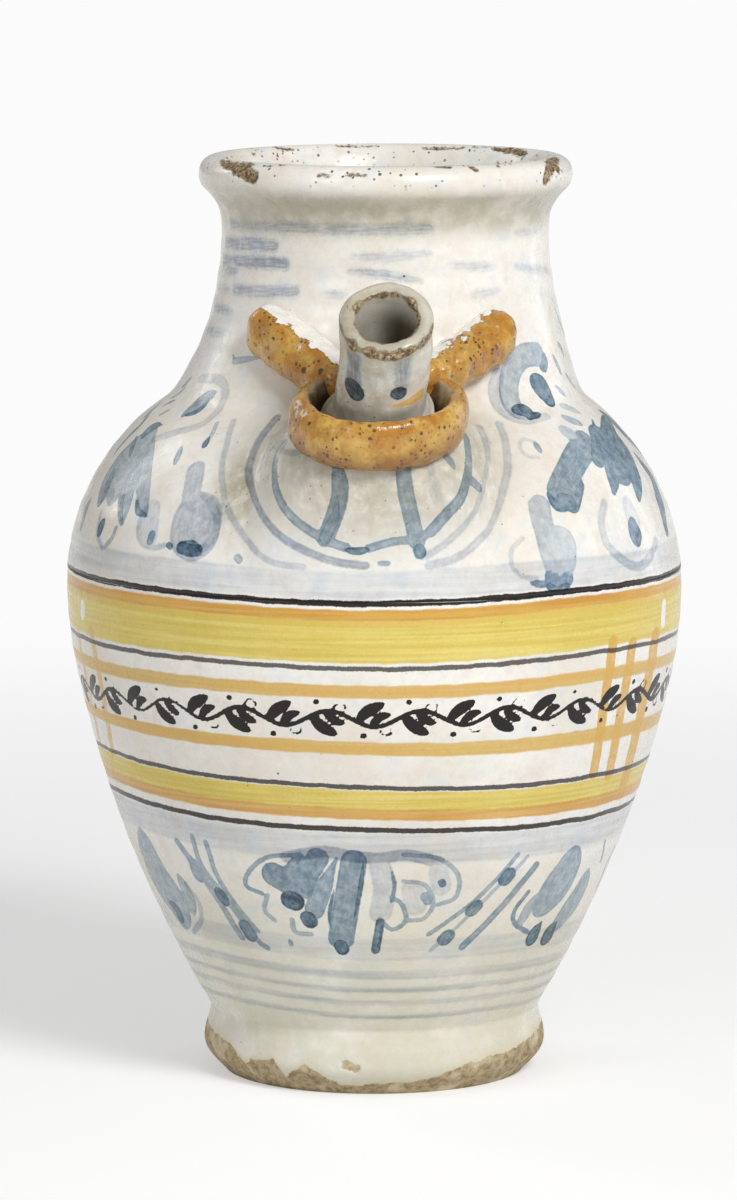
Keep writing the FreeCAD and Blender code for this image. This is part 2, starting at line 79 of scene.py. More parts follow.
# The spout's frame: its root on the shoulder and its axis
SEAT_ANGLE = math.radians(43.2)
SPOUT_TILT = math.radians(35.0)
SPOUT_ROOT = np.array((
    0.0,
    SHOULDER_CURVE - BELLY_RADIUS - SHOULDER_CURVE * math.cos(SEAT_ANGLE),
    BELLY_HEIGHT + SHOULDER_CURVE * math.sin(SEAT_ANGLE),
))
SPOUT_AXIS = np.array((0.0, -math.sin(SPOUT_TILT), math.cos(SPOUT_TILT)))
SPOUT_SIDE = np.array((1.0, 0.0, 0.0))
SPOUT_BACK = np.cross(SPOUT_AXIS, SPOUT_SIDE)
SPOUT_RADIUS = 13.2
BORE_RADIUS = 8.6
SPOUT_LENGTH = 49.0
MOUTH_RISE = 4.4
RING_LEVEL = 13.4
RING_TILT = math.radians(16.0)
RING_RADIUS = 20.8
RING_THICKNESS = 9.0
RING_HEIGHT = 14.6

# The painted line that parts the jar's two meshes, and the fineness of their grids
SEAM_HEIGHT = 150.3
COLUMNS = 720
FINE_STEP = 0.8
COARSE_STEP = 3.0

# How much higher the lip stands than the turned outline
RIM_RISE = 0.65

# The jar leans a little to the right above the shoulder
LEAN = 3.2
LEAN_START = 188.0
LEAN_END = 225.0


# Small curves and noise


def smooth(value, low, high):
    """0 below low, 1 above high and an even curve between them."""
    share = np.clip((value - low) / (high - low), 0.0, 1.0)
    return share * share * (3.0 - 2.0 * share)


def smooth_max(a, b, reach):
    """The larger of two values, rounded where they are closer than reach."""
    share = np.clip(0.5 + 0.5 * (a - b) / reach, 0.0, 1.0)
    return b + (a - b) * share + reach * share * (1.0 - share)


WAVE_COUNT = 7


def waves(points, seed, scale):
    """Smooth noise between about -1 and 1: sines in random directions, about scale millimetres long."""
    random = np.random.default_rng(seed)
    total = np.zeros(len(points))
    for _ in range(WAVE_COUNT):
        direction = random.normal(size=3)
        direction /= np.linalg.norm(direction)
        length = scale * random.uniform(0.6, 1.6)
        total += np.sin(points @ direction * (2 * math.pi / length) + random.uniform(0, 2 * math.pi))
    return total / math.sqrt(WAVE_COUNT)


# Outlines of the thrown jar, as points (radius, height)


def circles_meet(centre_a, reach_a, centre_b, reach_b, side):
    """Point at the two distances from two centres, left (1) or right (-1) of the line a-b."""
    between = np.subtract(centre_b, centre_a)
    span = np.hypot(*between)
    ahead = between / span
    along = (reach_a**2 - reach_b**2 + span**2) / (2 * span)
    aside = side * math.sqrt(reach_a**2 - along**2)
    return np.add(centre_a, along * ahead + aside * np.array((-ahead[1], ahead[0])))


def toward(start, end, distance):
    between = np.subtract(end, start)
    return np.add(start, between * distance / np.hypot(*between))


def arc(centre, start, end, step, clockwise=False):
    """Points from start to end round a centre, about step apart."""
    radius = np.hypot(*np.subtract(start, centre))
    first = math.atan2(start[1] - centre[1], start[0] - centre[0])
    last = math.atan2(end[1] - centre[1], end[0] - centre[0])
    turn = (last - first) % (2 * math.pi)
    if clockwise:
        turn -= 2 * math.pi
    count = max(3, math.ceil(abs(turn) * radius / step) + 1)
    angles = np.linspace(first, first + turn, count)
    return np.stack([centre[0] + radius * np.cos(angles), centre[1] + radius * np.sin(angles)], axis=1)


def line(start, end, step):
    count = max(2, math.ceil(np.hypot(*np.subtract(end, start)) / step) + 1)
    return np.linspace(start, end, count)


def chain(*parts):
    """Parts end to end, without the points that repeat."""
    points = [parts[0]]
    for part in parts[1:]:
        points.append(part[1:])
    return np.concatenate(points)


def side_outline(depth, step):
    """The jar's side from the waist to the throat, at a depth under its glazed face."""
    waist = (WAIST[0] - depth, WAIST[1])
    belly = (BELLY_RADIUS - depth, BELLY_HEIGHT)
    throat = (THROAT_RADIUS - depth, THROAT_HEIGHT)
    belly_centre = (BELLY_RADIUS - BELLY_CURVE, BELLY_HEIGHT)
    shoulder_centre = (BELLY_RADIUS - SHOULDER_CURVE, BELLY_HEIGHT)
    neck_centre = (THROAT_RADIUS + NECK_CURVE, THROAT_HEIGHT)
    lower = LOWER_CURVE - depth
    root = ROOT_CURVE + depth
    shoulder = SHOULDER_CURVE - depth
    neck = NECK_CURVE + depth
    lower_centre = circles_meet(belly_centre, LOWER_CURVE - BELLY_CURVE, waist, lower, -1)
    root_centre = circles_meet(shoulder_centre, shoulder + root, neck_centre, neck - root, 1)
    low_meeting = toward(lower_centre, belly_centre, lower)
    shoulder_meeting = toward(shoulder_centre, root_centre, shoulder)
    neck_meeting = toward(neck_centre, root_centre, neck)
    return chain(
        arc(lower_centre, waist, low_meeting, step),
        arc(belly_centre, low_meeting, belly, step),
        arc(shoulder_centre, belly, shoulder_meeting, step),
        arc(root_centre, shoulder_meeting, neck_meeting, step, clockwise=True),
        arc(neck_centre, neck_meeting, throat, step, clockwise=True),
    )


def lip_outline(depth, step, outside):
    """From the throat through the flare to the crest of the rolled lip."""
    throat = (THROAT_RADIUS - depth, THROAT_HEIGHT)
    sign = 1 if outside else -1
    across = ROLL_CENTRE[0] - throat[0]
    up = ROLL_CENTRE[1] - throat[1]
    reach = (across**2 + up**2 - ROLL_RADIUS**2) / (2 * (across + sign * ROLL_RADIUS))
    flare_centre = (throat[0] + reach, throat[1])
    meeting = toward(ROLL_CENTRE, flare_centre, sign * ROLL_RADIUS)
    crest = (ROLL_CENTRE[0], RIM_HEIGHT)
    return chain(
        arc(flare_centre, throat, meeting, step, clockwise=True),
        arc(ROLL_CENTRE, meeting, crest, step, clockwise=not outside),
    )


def split(outline, height):
    """The outline's parts below and above a height, each with a point at the height."""
    radius = np.interp(height, outline[:, 1], outline[:, 0])
    cut = np.array([(radius, height)])
    margin = 0.2
    below = outline[outline[:, 1] < height - margin]
    above = outline[outline[:, 1] > height + margin]
    return np.concatenate([below, cut]), np.concatenate([cut, above])


def foot_outline(step):
    """From the edge of the base round the flange to the waist."""
    base = (BASE_RADIUS, 0.0)

    def touch(point, side):
        span = np.hypot(*np.subtract(point, FLANGE_CENTRE))
        return circles_meet(FLANGE_CENTRE, FLANGE_ROUND, point, math.sqrt(span**2 - FLANGE_ROUND**2), side)

    low = touch(base, 1)
    high = touch(WAIST, -1)
    return chain(line(base, low, step), arc(FLANGE_CENTRE, low, high, step), line(high, WAIST, step))


# Meshes


def make_mesh(name, points, faces):
    """A smooth-shaded object in metres from points in millimetres, with an array of faces for each size."""
    mesh = bpy.data.meshes.new(name)
    loops = np.concatenate([block.ravel() for block in faces]).astype(np.int32)
    sizes = np.concatenate([np.full(len(block), block.shape[1]) for block in faces])
    starts = np.concatenate([[0], np.cumsum(sizes)[:-1]]).astype(np.int32)
    mesh.vertices.add(len(points))
    mesh.vertices.foreach_set("co", (np.asarray(points) * MM).astype(np.float32).ravel())
    mesh.loops.add(len(loops))
    mesh.loops.foreach_set("vertex_index", loops)
    mesh.polygons.add(len(starts))
    mesh.polygons.foreach_set("loop_start", starts)
    mesh.update(calc_edges=True)
    mesh.validate()
    mesh.shade_smooth()
    piece = bpy.data.objects.new(name, mesh)
    SCENE.collection.objects.link(piece)
    return piece


def grid_faces(rows, columns, wrap_rows):
    """Quads of a grid whose columns close on themselves, and whose rows do where wrap_rows says so."""
    row = np.arange(rows if wrap_rows else rows - 1)[:, None]
    column = np.arange(columns)[None, :]
    right = (column + 1) % columns
    above = (row + 1) % rows
    here = row * columns
    over = above * columns
    corners = [here + column, here + right, over + right, over + column]
    return np.stack([np.broadcast_to(c, (len(row), columns)) for c in corners], axis=-1).reshape(-1, 4)


def turned(outline, columns):
    """Grid of an outline turned about Z: (rows, columns, 3)."""
    angle = np.linspace(0, 2 * math.pi, columns, endpoint=False)
    radius = outline[:, 0][:, None]
    height = np.broadcast_to(outline[:, 1][:, None], (len(outline), columns))
    return np.stack([radius * np.cos(angle), radius * np.sin(angle), height], axis=-1)


def positions(piece):
    """The piece's points in millimetres."""
    flat = np.empty(len(piece.data.vertices) * 3, np.float32)
    piece.data.vertices.foreach_get("co", flat)
    return flat.reshape(-1, 3).astype(float) / MM


def normals(piece):
    flat = np.empty(len(piece.data.vertices) * 3, np.float32)
    piece.data.vertex_normals.foreach_get("vector", flat)
    return flat.reshape(-1, 3).astype(float)


def put_points(piece, points):
    piece.data.vertices.foreach_set("co", (points * MM).astype(np.float32).ravel())
    piece.data.update()


def lean(points):
    moved = points.copy()
    moved[:, 0] += LEAN * smooth(points[:, 2], LEAN_START, LEAN_END)
    return moved


def note(piece, name, values):
    """Keeps a value, or a triple of values, for each point, for the material to read."""
    values = np.asarray(values, np.float32)
    kind, field = ("FLOAT_VECTOR", "vector") if values.ndim == 2 else ("FLOAT", "value")
    piece.data.attributes.new(name, kind, "POINT").data.foreach_set(field, values.ravel())


# The thrown jar

MOUND_TILT = math.radians(22.0)
MOUND_AXIS = np.array((0.0, -math.sin(MOUND_TILT), math.cos(MOUND_TILT)))
MOUND_TOP = 9.3
MOUND_FLAT = 21.0
MOUND_FALL = 22.0
MOUND_REACH = 14.5
MOUND_POWER = 1.5
MOUND_BLEND = 5.0


def raise_mound(points):
    """Lifts the shoulder into the mound that carries the collar."""
    offset = points - SPOUT_ROOT
    along = offset @ MOUND_AXIS
    distance = np.linalg.norm(offset - along[:, None] * MOUND_AXIS, axis=1)
    drop = MOUND_FALL * (np.maximum(distance - MOUND_FLAT, 0.0) / MOUND_REACH) ** MOUND_POWER
    top = MOUND_TOP - drop + 0.5 * waves(points, 5, 22.0)
    lift = smooth_max(along, top, MOUND_BLEND) - along
    lift *= (points[:, 1] < 0) * smooth(points[:, 2], SEAM_HEIGHT + 0.5, SEAM_HEIGHT + 16.0)
    return points + lift[:, None] * MOUND_AXIS


def column_lengths(grid):
    """How far along its column each point of a grid lies."""
    steps = np.linalg.norm(np.diff(grid, axis=0), axis=2)
    return np.concatenate([np.zeros((1, COLUMNS)), np.cumsum(steps, axis=0)])


def spread_rows(flat, raised):
    """Moves the flat points along their columns, to lie evenly once the mound has stretched these."""
    flat = flat.reshape(-1, COLUMNS, 3)
    before = column_lengths(flat)
    after = column_lengths(raised.reshape(-1, COLUMNS, 3))
    index = np.arange(len(flat))
    spread = flat.copy()
    for column in range(COLUMNS):
        wanted = before[:, column] * after[-1, column] / before[-1, column]
        place = np.interp(wanted, after[:, column], index)
        for axis in range(3):
            spread[:, column, axis] = np.interp(place, index, flat[:, column, axis])
    return spread.reshape(-1, 3)


def throwing_marks(points, depth):
    """Inward dents of a hand-thrown wall: soft rings and a slight unevenness."""
    height = points[:, 2] + 0.6 * waves(points, 11, 90.0)
    rings = np.sin(height * 2 * math.pi / 8.3) + 0.6 * np.sin(height * 2 * math.pi / 13.7 + 1.0)
    uneven = waves(points, 12, 60.0)
    inward = depth * (1.6 - rings) / 1.6 + 0.12 * (2.6 - uneven)
    radius = np.hypot(points[:, 0], points[:, 1])
    share = np.clip(inward / np.maximum(radius, 1.0), 0.0, 0.02)
    moved = points.copy()
    moved[:, :2] *= (1 - share)[:, None]
    return moved


def make_jar_lower():
    """Closed solid from the base to the painted seam: bare foot, glazed side, inside and floor."""
    below, _ = split(side_outline(0.0, FINE_STEP), SEAM_HEIGHT)
    inside, _ = split(side_outline(WALL, COARSE_STEP), SEAM_HEIGHT)
    corner = WAIST[1] - FLOOR_HEIGHT
    corner_centre = (WAIST[0] - WALL - corner, WAIST[1])
    turn_down = arc(corner_centre, inside[0], (corner_centre[0], FLOOR_HEIGHT), COARSE_STEP, clockwise=True)
    base = line((1.0, 0.0), (BASE_RADIUS - 0.6, 0.0), COARSE_STEP)
    outside = chain(foot_outline(FINE_STEP), below)
    floor = line((corner_centre[0], FLOOR_HEIGHT), (1.0, FLOOR_HEIGHT), COARSE_STEP)
    outline = np.concatenate([base, outside, chain(inside[::-1], turn_down, floor)])
    grid = turned(outline, COLUMNS)
    rows = len(outline)
    points = grid.reshape(-1, 3)
    outer = np.zeros(rows, bool)
    outer[len(base):len(base) + len(outside)] = True
    outer = np.repeat(outer, COLUMNS)
    points[outer] = throwing_marks(points[outer], 0.10)
    flange = 1 + 0.014 * smooth(points[:, 2], 0.0, 5.0) * smooth(points[:, 2], 18.0, 12.0)
    points[:, :2] *= flange[:, None]
    poles = np.array([(0.0, 0.0, 0.0), (0.0, 0.0, FLOOR_HEIGHT)])
    first = np.arange(COLUMNS)
    last = first + (rows - 1) * COLUMNS
    count = rows * COLUMNS
    bottom = np.stack([np.full(COLUMNS, count), (first + 1) % COLUMNS, first], axis=1)
    top = np.stack([last, np.roll(last, -1), np.full(COLUMNS, count + 1)], axis=1)
    faces = [grid_faces(rows, COLUMNS, False), bottom, top]
    return make_mesh("jar_lower", np.concatenate([points, poles]), faces)


def make_jar_upper():
    """Closed solid above the painted seam: shoulder with the spout's mound, neck and rolled lip."""
    _, above = split(side_outline(0.0, FINE_STEP), SEAM_HEIGHT)
    _, inside = split(side_outline(WALL, COARSE_STEP), SEAM_HEIGHT)
    outside = chain(above, lip_outline(0.0, FINE_STEP, True))
    hollow = chain(inside, lip_outline(WALL, FINE_STEP, False))
    outline = np.concatenate([outside, hollow[-2::-1]])
    points = turned(outline, COLUMNS).reshape(-1, 3)
    outer = np.repeat(np.arange(len(outline)) < len(outside), COLUMNS)
    raised = raise_mound(throwing_marks(points[outer], 0.12))
    points[outer] = raise_mound(throwing_marks(spread_rows(points[outer], raised), 0.12))
    points[:, 2] += RIM_RISE * smooth(points[:, 2], RIM_HEIGHT - 8.0, RIM_HEIGHT - 1.5)
    return make_mesh("jar_upper", lean(points), [grid_faces(len(outline), COLUMNS, True)])


def cut_bore(piece):
    """Opens the spout's bore through the jar's wall."""
    sides = 64
    low, high = -22.0, 16.0
    angle = np.linspace(0, 2 * math.pi, sides, endpoint=False)
    ring = np.cos(angle)[:, None] * SPOUT_SIDE + np.sin(angle)[:, None] * SPOUT_BACK
    ends = [SPOUT_ROOT + level * SPOUT_AXIS + BORE_RADIUS * ring for level in (low, high)]
    column = np.arange(sides)
    cap_low = column[::-1][None, :]
    cap_high = (column + sides)[None, :]
    points = lean(np.concatenate(ends))
    cutter = make_mesh("bore_cutter", points, [grid_faces(2, sides, False), cap_low, cap_high])
    modifier = piece.modifiers.new("bore", "BOOLEAN")
    modifier.operation = "DIFFERENCE"
    modifier.solver = "MANIFOLD"
    modifier.object = cutter
    graph = bpy.context.evaluated_depsgraph_get()
    mesh = bpy.data.meshes.new_from_object(piece.evaluated_get(graph))
    piece.modifiers.clear()
    old = piece.data
    piece.data = mesh
    mesh.name = piece.name
    bpy.data.meshes.remove(old)
    bpy.data.objects.remove(cutter)
    mesh.shade_smooth()
    return piece


# Applied clay: the spout tube, its collar, the two braces and the strap handle


def make_spout():
    """Tube with its bore, a thick worn lip and a foot that spreads inside the collar."""
    step = 0.6
    foot = (SPOUT_RADIUS, 2.0)
    spread = (SPOUT_RADIUS + 0.4, 10.0)
    bead_low = (SPOUT_RADIUS + 2.3, 13.2)
    bead_high = (SPOUT_RADIUS + 2.2, 15.2)
    tube_low = (SPOUT_RADIUS - 0.1, 18.6)
    tube_middle = (SPOUT_RADIUS - 0.5, 32.0)
    lip_low = (SPOUT_RADIUS, SPOUT_LENGTH - 2.2)
    lip_high = (SPOUT_RADIUS - 2.0, SPOUT_LENGTH - 0.2)
    mouth_high = (BORE_RADIUS + 1.0, SPOUT_LENGTH - 0.6)
    mouth_low = (BORE_RADIUS, SPOUT_LENGTH - 1.6)
    bore_end = (BORE_RADIUS, foot[1])
    outline = chain(
        line(foot, spread, step),
        line(spread, bead_low, step),
        arc((SPOUT_RADIUS + 2.0, 14.2), bead_low, bead_high, step),
        line(bead_high, tube_low, step),
        line(tube_low, tube_middle, step),
        line(tube_middle, lip_low, step),
        arc((lip_high[0], lip_low[1]), lip_low, lip_high, step),
        line(lip_high, mouth_high, step),
        arc((mouth_high[0], mouth_low[1]), mouth_high, mouth_low, step),
        line(mouth_low, bore_end, step * 2),
        line(bore_end, foot, step * 2),
    )[:-1]
    columns = 180
    angle = np.linspace(0, 2 * math.pi, columns, endpoint=False)
    ring = np.cos(angle)[:, None] * SPOUT_SIDE + np.sin(angle)[:, None] * SPOUT_BACK
    radii, levels = outline[:, 0], outline[:, 1]
    points = SPOUT_ROOT + levels[:, None, None] * SPOUT_AXIS + radii[:, None, None] * ring[None]
    points = points.reshape(-1, 3)
    level = np.repeat(levels, columns)
    reach = np.repeat(radii, columns)
    outward = np.tile(ring, (len(outline), 1))
    on_outside = smooth(reach, BORE_RADIUS + 0.4, BORE_RADIUS + 2.0)
    points += (0.22 * waves(points, 21, 14.0) * on_outside)[:, None] * outward
    points -= (0.25 * (1 + waves(points, 22, 9.0)) * smooth(level, 44.0, SPOUT_LENGTH))[:, None] * SPOUT_AXIS
    behind = (points - SPOUT_ROOT) @ SPOUT_BACK / SPOUT_RADIUS
    points += (MOUTH_RISE * (0.5 + 0.5 * behind) * smooth(level, 24.0, SPOUT_LENGTH))[:, None] * SPOUT_AXIS
    around = np.tile(angle, len(outline))
    front = 0.5 - 0.5 * np.sin(around)
    worn = 0.45 * waves(points, 23, 5.0)
    inner = np.hypot(reach - BORE_RADIUS - 0.3, level - SPOUT_LENGTH + 1.1) - 0.55 - worn
    outer_edge = np.hypot(reach - SPOUT_RADIUS + 0.6, level - SPOUT_LENGTH + 1.8) + 0.3 - 1.5 * front - worn
    bore = np.where(reach < BORE_RADIUS + 0.05, SPOUT_LENGTH - 2.5 - level, -1.0)
    chips = np.minimum(inner, outer_edge)
    points -= (0.35 * smooth(-chips, 0.0, 0.5))[:, None] * SPOUT_AXIS
    piece = make_mesh("spout_tube_glazed", lean(points), [grid_faces(len(outline), columns, True)])
    note(piece, "worn", chips)
    # Painted shade in the bore, darker further in and strongest on its right side; on the outside grime, with
    # painted shade darkening the tube's left side
    shaded_side = 0.25 + 0.75 * smooth(np.cos(around), -0.5, 0.5)
    note(piece, "hollow_shade_and_pool", np.clip(bore / 7.0, 0.0, 1.0) * shaded_side)
    note(piece, "grime_and_shade", np.where(bore > 0, 0.4, 0.75 - 0.25 * np.cos(around)))
    return piece


def swept(name, centres, across, over, halves, power, sides, seed, rough, closed):
    """Closed roll of clay round a line of centres; halves are its half sizes across and over the line."""
    angle = np.linspace(0, 2 * math.pi, sides, endpoint=False)
    cosine = np.sign(np.cos(angle)) * np.abs(np.cos(angle)) ** (2 / power)
    sine = np.sign(np.sin(angle)) * np.abs(np.sin(angle)) ** (2 / power)
    spread = halves[:, 0][:, None, None] * cosine[None, :, None] * across[:, None, :]
    spread = spread + halves[:, 1][:, None, None] * sine[None, :, None] * over[:, None, :]
    points = (centres[:, None, :] + spread).reshape(-1, 3)
    outward = spread.reshape(-1, 3)
    outward = outward / np.maximum(np.linalg.norm(outward, axis=1), 1e-6)[:, None]
    uneven = rough * waves(points, seed, 11.0) + 0.5 * rough * waves(points, seed + 1, 5.0)
    points = points + uneven[:, None] * outward
    faces = [grid_faces(len(centres), sides, closed)]
    if not closed:
        count = len(points)
        caps = np.array([centres[0], centres[-1]])
        points = np.concatenate([points, caps])
        first = np.arange(sides)
        last = first + (len(centres) - 1) * sides
        faces.append(np.stack([np.full(sides, count), np.roll(first, -1), first], axis=1))
        faces.append(np.stack([last, np.roll(last, -1), np.full(sides, count + 1)], axis=1))
    piece = make_mesh(name, lean(points), faces)
    corner = positions(piece)[faces[0][:, 0]]
    first = positions(piece)[faces[0][:, 1]] - corner
    second = positions(piece)[faces[0][:, 3]] - corner
    if (corner * np.cross(first, second)).sum() < 0:
        piece.data.flip_normals()
    return piece


def ring_frame():
    """The collar's centre, and the directions to its right, to its back and out of its plane."""
    centre = SPOUT_ROOT + RING_LEVEL * SPOUT_AXIS
    back = np.array((0.0, math.cos(RING_TILT), math.sin(RING_TILT)))
    up = np.array((0.0, -math.sin(RING_TILT), math.cos(RING_TILT)))
    return centre, np.array((1.0, 0.0, 0.0)), back, up


def make_collar():
    """Hand-rolled coil pressed into a collar round the spout's foot."""
    centre, right, back, up = ring_frame()
    count = 300
    angle = np.linspace(0, 2 * math.pi, count, endpoint=False)
    outward = np.cos(angle)[:, None] * right + np.sin(angle)[:, None] * back
    uneven = 0.35 * np.sin(2 * angle + 0.7) + 0.25 * np.sin(3 * angle + 2.0)
    centres = centre + (RING_RADIUS + 0.4 * uneven)[:, None] * outward
    halves = np.stack([RING_THICKNESS / 2 + 0.25 * uneven, RING_HEIGHT / 2 - 0.4 * uneven], axis=1)
    ups = np.broadcast_to(up, (count, 3))
    piece = swept("collar", centres, outward, ups, halves, 2.1, 96, 31, 0.2, True)
    points = positions(piece)
    offset = points - lean(centre[None])
    rise = offset @ up
    across = np.stack([offset @ right, offset @ back], axis=1)
    reach = np.hypot(across[:, 0], across[:, 1])
    inside = (RING_RADIUS + RING_THICKNESS / 2 - reach) / RING_THICKNESS
    upper = smooth(rise, -0.35 * RING_HEIGHT, 0.5 * RING_HEIGHT)
    shift = 0.2 * RING_THICKNESS * np.clip(inside, 0, 1) * upper
    direction = (across[:, :1] * right + across[:, 1:] * back) / reach[:, None]
    put_points(piece, points + shift[:, None] * direction)
    facing = normals(piece)
    # Painted shade: the faces turned in toward the tube darken, partly as pooled glaze, and the faces turned
    # down darken too
    note(piece, "hollow_shade_and_pool", smooth(-(facing * direction).sum(1), 0.25, 1.1))
    note(piece, "low", smooth(-facing[:, 2], 0.0, 0.9))
    return piece


BRACE_LIFT = 4.4
BRACE_SEAT = math.radians(40.0)
BRACE_SPREAD = math.radians(41.0)
BRACE_RISE = math.radians(22.0)
BRACE_RADIUS = 6.9
RIGHT_LENGTH = 29.0
LEFT_LENGTH = 32.5
# How squarely the glaze has to face up before the white covers it
RIGHT_COVER = 0.78
LEFT_COVER = 0.55


def make_brace(name, sign, seed):
    """Roll of clay from the back of the collar up to the neck, growing a little deeper toward the neck."""
    centre, right, back, _ = ring_frame()
    start = centre + RING_RADIUS * (sign * math.sin(BRACE_SEAT) * right + math.cos(BRACE_SEAT) * back)
    start = start + np.array((0.0, 0.0, BRACE_LIFT))
    ahead = np.array((
        sign * math.sin(BRACE_SPREAD) * math.cos(BRACE_RISE),
        math.cos(BRACE_SPREAD) * math.cos(BRACE_RISE),
        math.sin(BRACE_RISE),
    ))
    length = RIGHT_LENGTH if sign > 0 else LEFT_LENGTH
    radius = BRACE_RADIUS
    count = 110
    share = np.linspace(0, 1, count)
    distance = -radius + share * (length + 2 * radius)
    end = np.minimum(distance + radius, length + radius - distance)
    round_off = np.sqrt(np.clip(1 - (1 - np.clip(end / radius, 0, 1)) ** 2, 0.0, 1.0))
    round_off = np.maximum(round_off, 0.02)
    side = np.cross(ahead, (0.0, 0.0, 1.0))
    side /= np.linalg.norm(side)
    over = np.cross(side, ahead)
    centres = start + distance[:, None] * ahead
    halves = np.stack([radius * round_off, radius * (1.0 + 0.12 * share) * round_off], axis=1)
    across = np.broadcast_to(side, (count, 3))
    overs = np.broadcast_to(over, (count, 3))
    piece = swept(name, centres, across, overs, halves, 2.3, 96, seed, 0.42, False)
    above = np.array((-0.5 * sign, 0.15, 0.85))
    above /= np.linalg.norm(above)
    facing = normals(piece) @ above
    note(piece, "cover", radius * (facing - (RIGHT_COVER if sign > 0 else LEFT_COVER)))
    return piece


HANDLE_CENTRE = (0.0, THROAT_RADIUS + 12.0, THROAT_HEIGHT - 44.0)
HANDLE_RADIUS = 35.5
HANDLE_THICKNESS = 9.0
HANDLE_WIDTH = 28.0
HANDLE_TURN = math.radians(128)
HANDLE_FLARE = math.radians(70)
GROOVE_PITCH = 11.0
GROOVE_DEPTH = 0.45


def make_handle():
    """Strap from the shoulder up to the neck, with two shallow finger grooves along its outside."""
    count = 260
    angle = np.linspace(-HANDLE_TURN, HANDLE_TURN, count)
    outward = np.stack([np.zeros(count), np.cos(angle), np.sin(angle)], axis=1)
    centres = np.array(HANDLE_CENTRE) + HANDLE_RADIUS * outward
    flare = smooth(np.abs(angle), HANDLE_FLARE, HANDLE_TURN)
    halves = np.stack([
        np.full(count, HANDLE_THICKNESS / 2) * (1 - 0.08 * flare),
        np.full(count, HANDLE_WIDTH / 2 - 1.5) * (1 + 0.1 * flare),
    ], axis=1)
    across = np.broadcast_to(np.array((1.0, 0.0, 0.0)), (count, 3))
    piece = swept("strap_handle_glazed", centres, outward, across, halves, 3.2, 120, 41, 0.15, False)
    points = positions(piece)
    offset = points - (np.array(HANDLE_CENTRE) + (LEAN, 0, 0))
    reach = np.hypot(offset[:, 1], offset[:, 2])
    groove = np.cos(offset[:, 0] * 2 * math.pi / GROOVE_PITCH)
    groove = groove * smooth(reach, HANDLE_RADIUS, HANDLE_RADIUS + 4.0)
    direction = np.stack([np.zeros(len(points)), offset[:, 1], offset[:, 2]], axis=1)
    direction /= np.maximum(reach, 1.0)[:, None]
    put_points(piece, points - (GROOVE_DEPTH * (1 - groove))[:, None] * direction)
    return piece


# Camera


def make_camera():
    data = bpy.data.cameras.new("camera")
    data.sensor_fit = "VERTICAL"
    data.sensor_height = SENSOR_HEIGHT
    data.lens = FOCAL_PIXELS / PHOTO_HEIGHT * SENSOR_HEIGHT
    data.clip_end = 100.0
    camera = bpy.data.objects.new("camera", data)
    camera.location = Vector(CAMERA_PLACE) * MM
    camera.rotation_euler = (math.pi / 2 - CAMERA_PITCH, 0.0, 0.0)
    SCENE.collection.objects.link(camera)
    SCENE.camera = camera


def sight(pixel):
    """Direction of the camera's ray through a pixel of the photograph."""
    across = (pixel[0] - PHOTO_WIDTH / 2) / FOCAL_PIXELS
    up = (PHOTO_HEIGHT / 2 - pixel[1]) / FOCAL_PIXELS
    cosine, sine = math.cos(CAMERA_PITCH), math.sin(CAMERA_PITCH)
    return Vector((across, cosine + up * sine, up * cosine - sine)).normalized()


# Brushwork: strokes are drawn as points in enlarged windows of the photograph, and laid on the surface

ENLARGED_WIDTH = 1568


class Window:
    """An enlarged region of the photograph, by its left, top and width in the photograph's pixels."""

    def __init__(self, left, top, width):
        self.corner = (left, top)
        self.scale = width / ENLARGED_WIDTH

    def pixel(self, point):
        return self.corner[0] + point[0] * self.scale, self.corner[1] + point[1] * self.scale


class Surface:
    """Pieces that strokes can be laid on."""

    def __init__(self, pieces):
        self.pieces = pieces
        self.points = [positions(piece) for piece in pieces]
        self.normals = [normals(piece) for piece in pieces]
        self.trees = []
        for piece, points in zip(pieces, self.points):
            polygons = [tuple(p.vertices) for p in piece.data.polygons]
            self.trees.append(BVHTree.FromPolygons([Vector(p) for p in points], polygons))
        self.layers = [{} for _ in pieces]

    def hit(self, pixel):
        """The point that the camera sees at a pixel, with its normal, or None."""
        best = None
        origin = Vector(CAMERA_PLACE)
        for tree in self.trees:
            place, normal, _, distance = tree.ray_cast(origin, sight(pixel))
            if place is not None and (best is None or distance < best[0]):
                best = (distance, np.array(place), np.array(normal))
        return None if best is None else best[1:]


# The distance kept for a point that no stroke is near, and the length of a curve's pieces
FAR = 9.0
CURVE_STEP = 0.7


def curve_through(points):
    """Smooth line through points (Catmull-Rom), and each point's share of its length."""
    points = np.asarray(points, float)
    if len(points) == 2:
        points = np.array([points[0], points.mean(0), points[1]])
    padded = np.concatenate([[2 * points[0] - points[1]], points, [2 * points[-1] - points[-2]]])
    out = []
    for a, b, c, d in zip(padded, padded[1:], padded[2:], padded[3:]):
        count = max(2, math.ceil(np.linalg.norm(c - b) / CURVE_STEP))
        t = np.linspace(0, 1, count, endpoint=False)[:, None]
        bend = 2 * a - 5 * b + 4 * c - d
        twist = 3 * b - a - 3 * c + d
        out.append(0.5 * (2 * b + (c - a) * t + bend * t**2 + twist * t**3))
    out.append(points[-1:])
    path = np.concatenate(out)
    length = np.concatenate([[0], np.cumsum(np.linalg.norm(np.diff(path, axis=0), axis=1))])
    return path, length


def half_widths(width, share, form):
    """Half of the stroke's width along it: an even band, a leaf with two points, or a drop with one."""
    if form == "leaf":
        return width / 2 * np.sqrt(np.clip(np.sin(math.pi * np.clip(share, 0.02, 0.98)), 0, 1))
    if form == "drop":
        return width / 2 * (0.12 + 0.88 * smooth(share, -0.1, 0.75))
    if form == "tail":
        return width / 2 * (0.2 + 0.8 * smooth(1 - share, -0.1, 0.9))
    return np.full(len(share), width / 2)


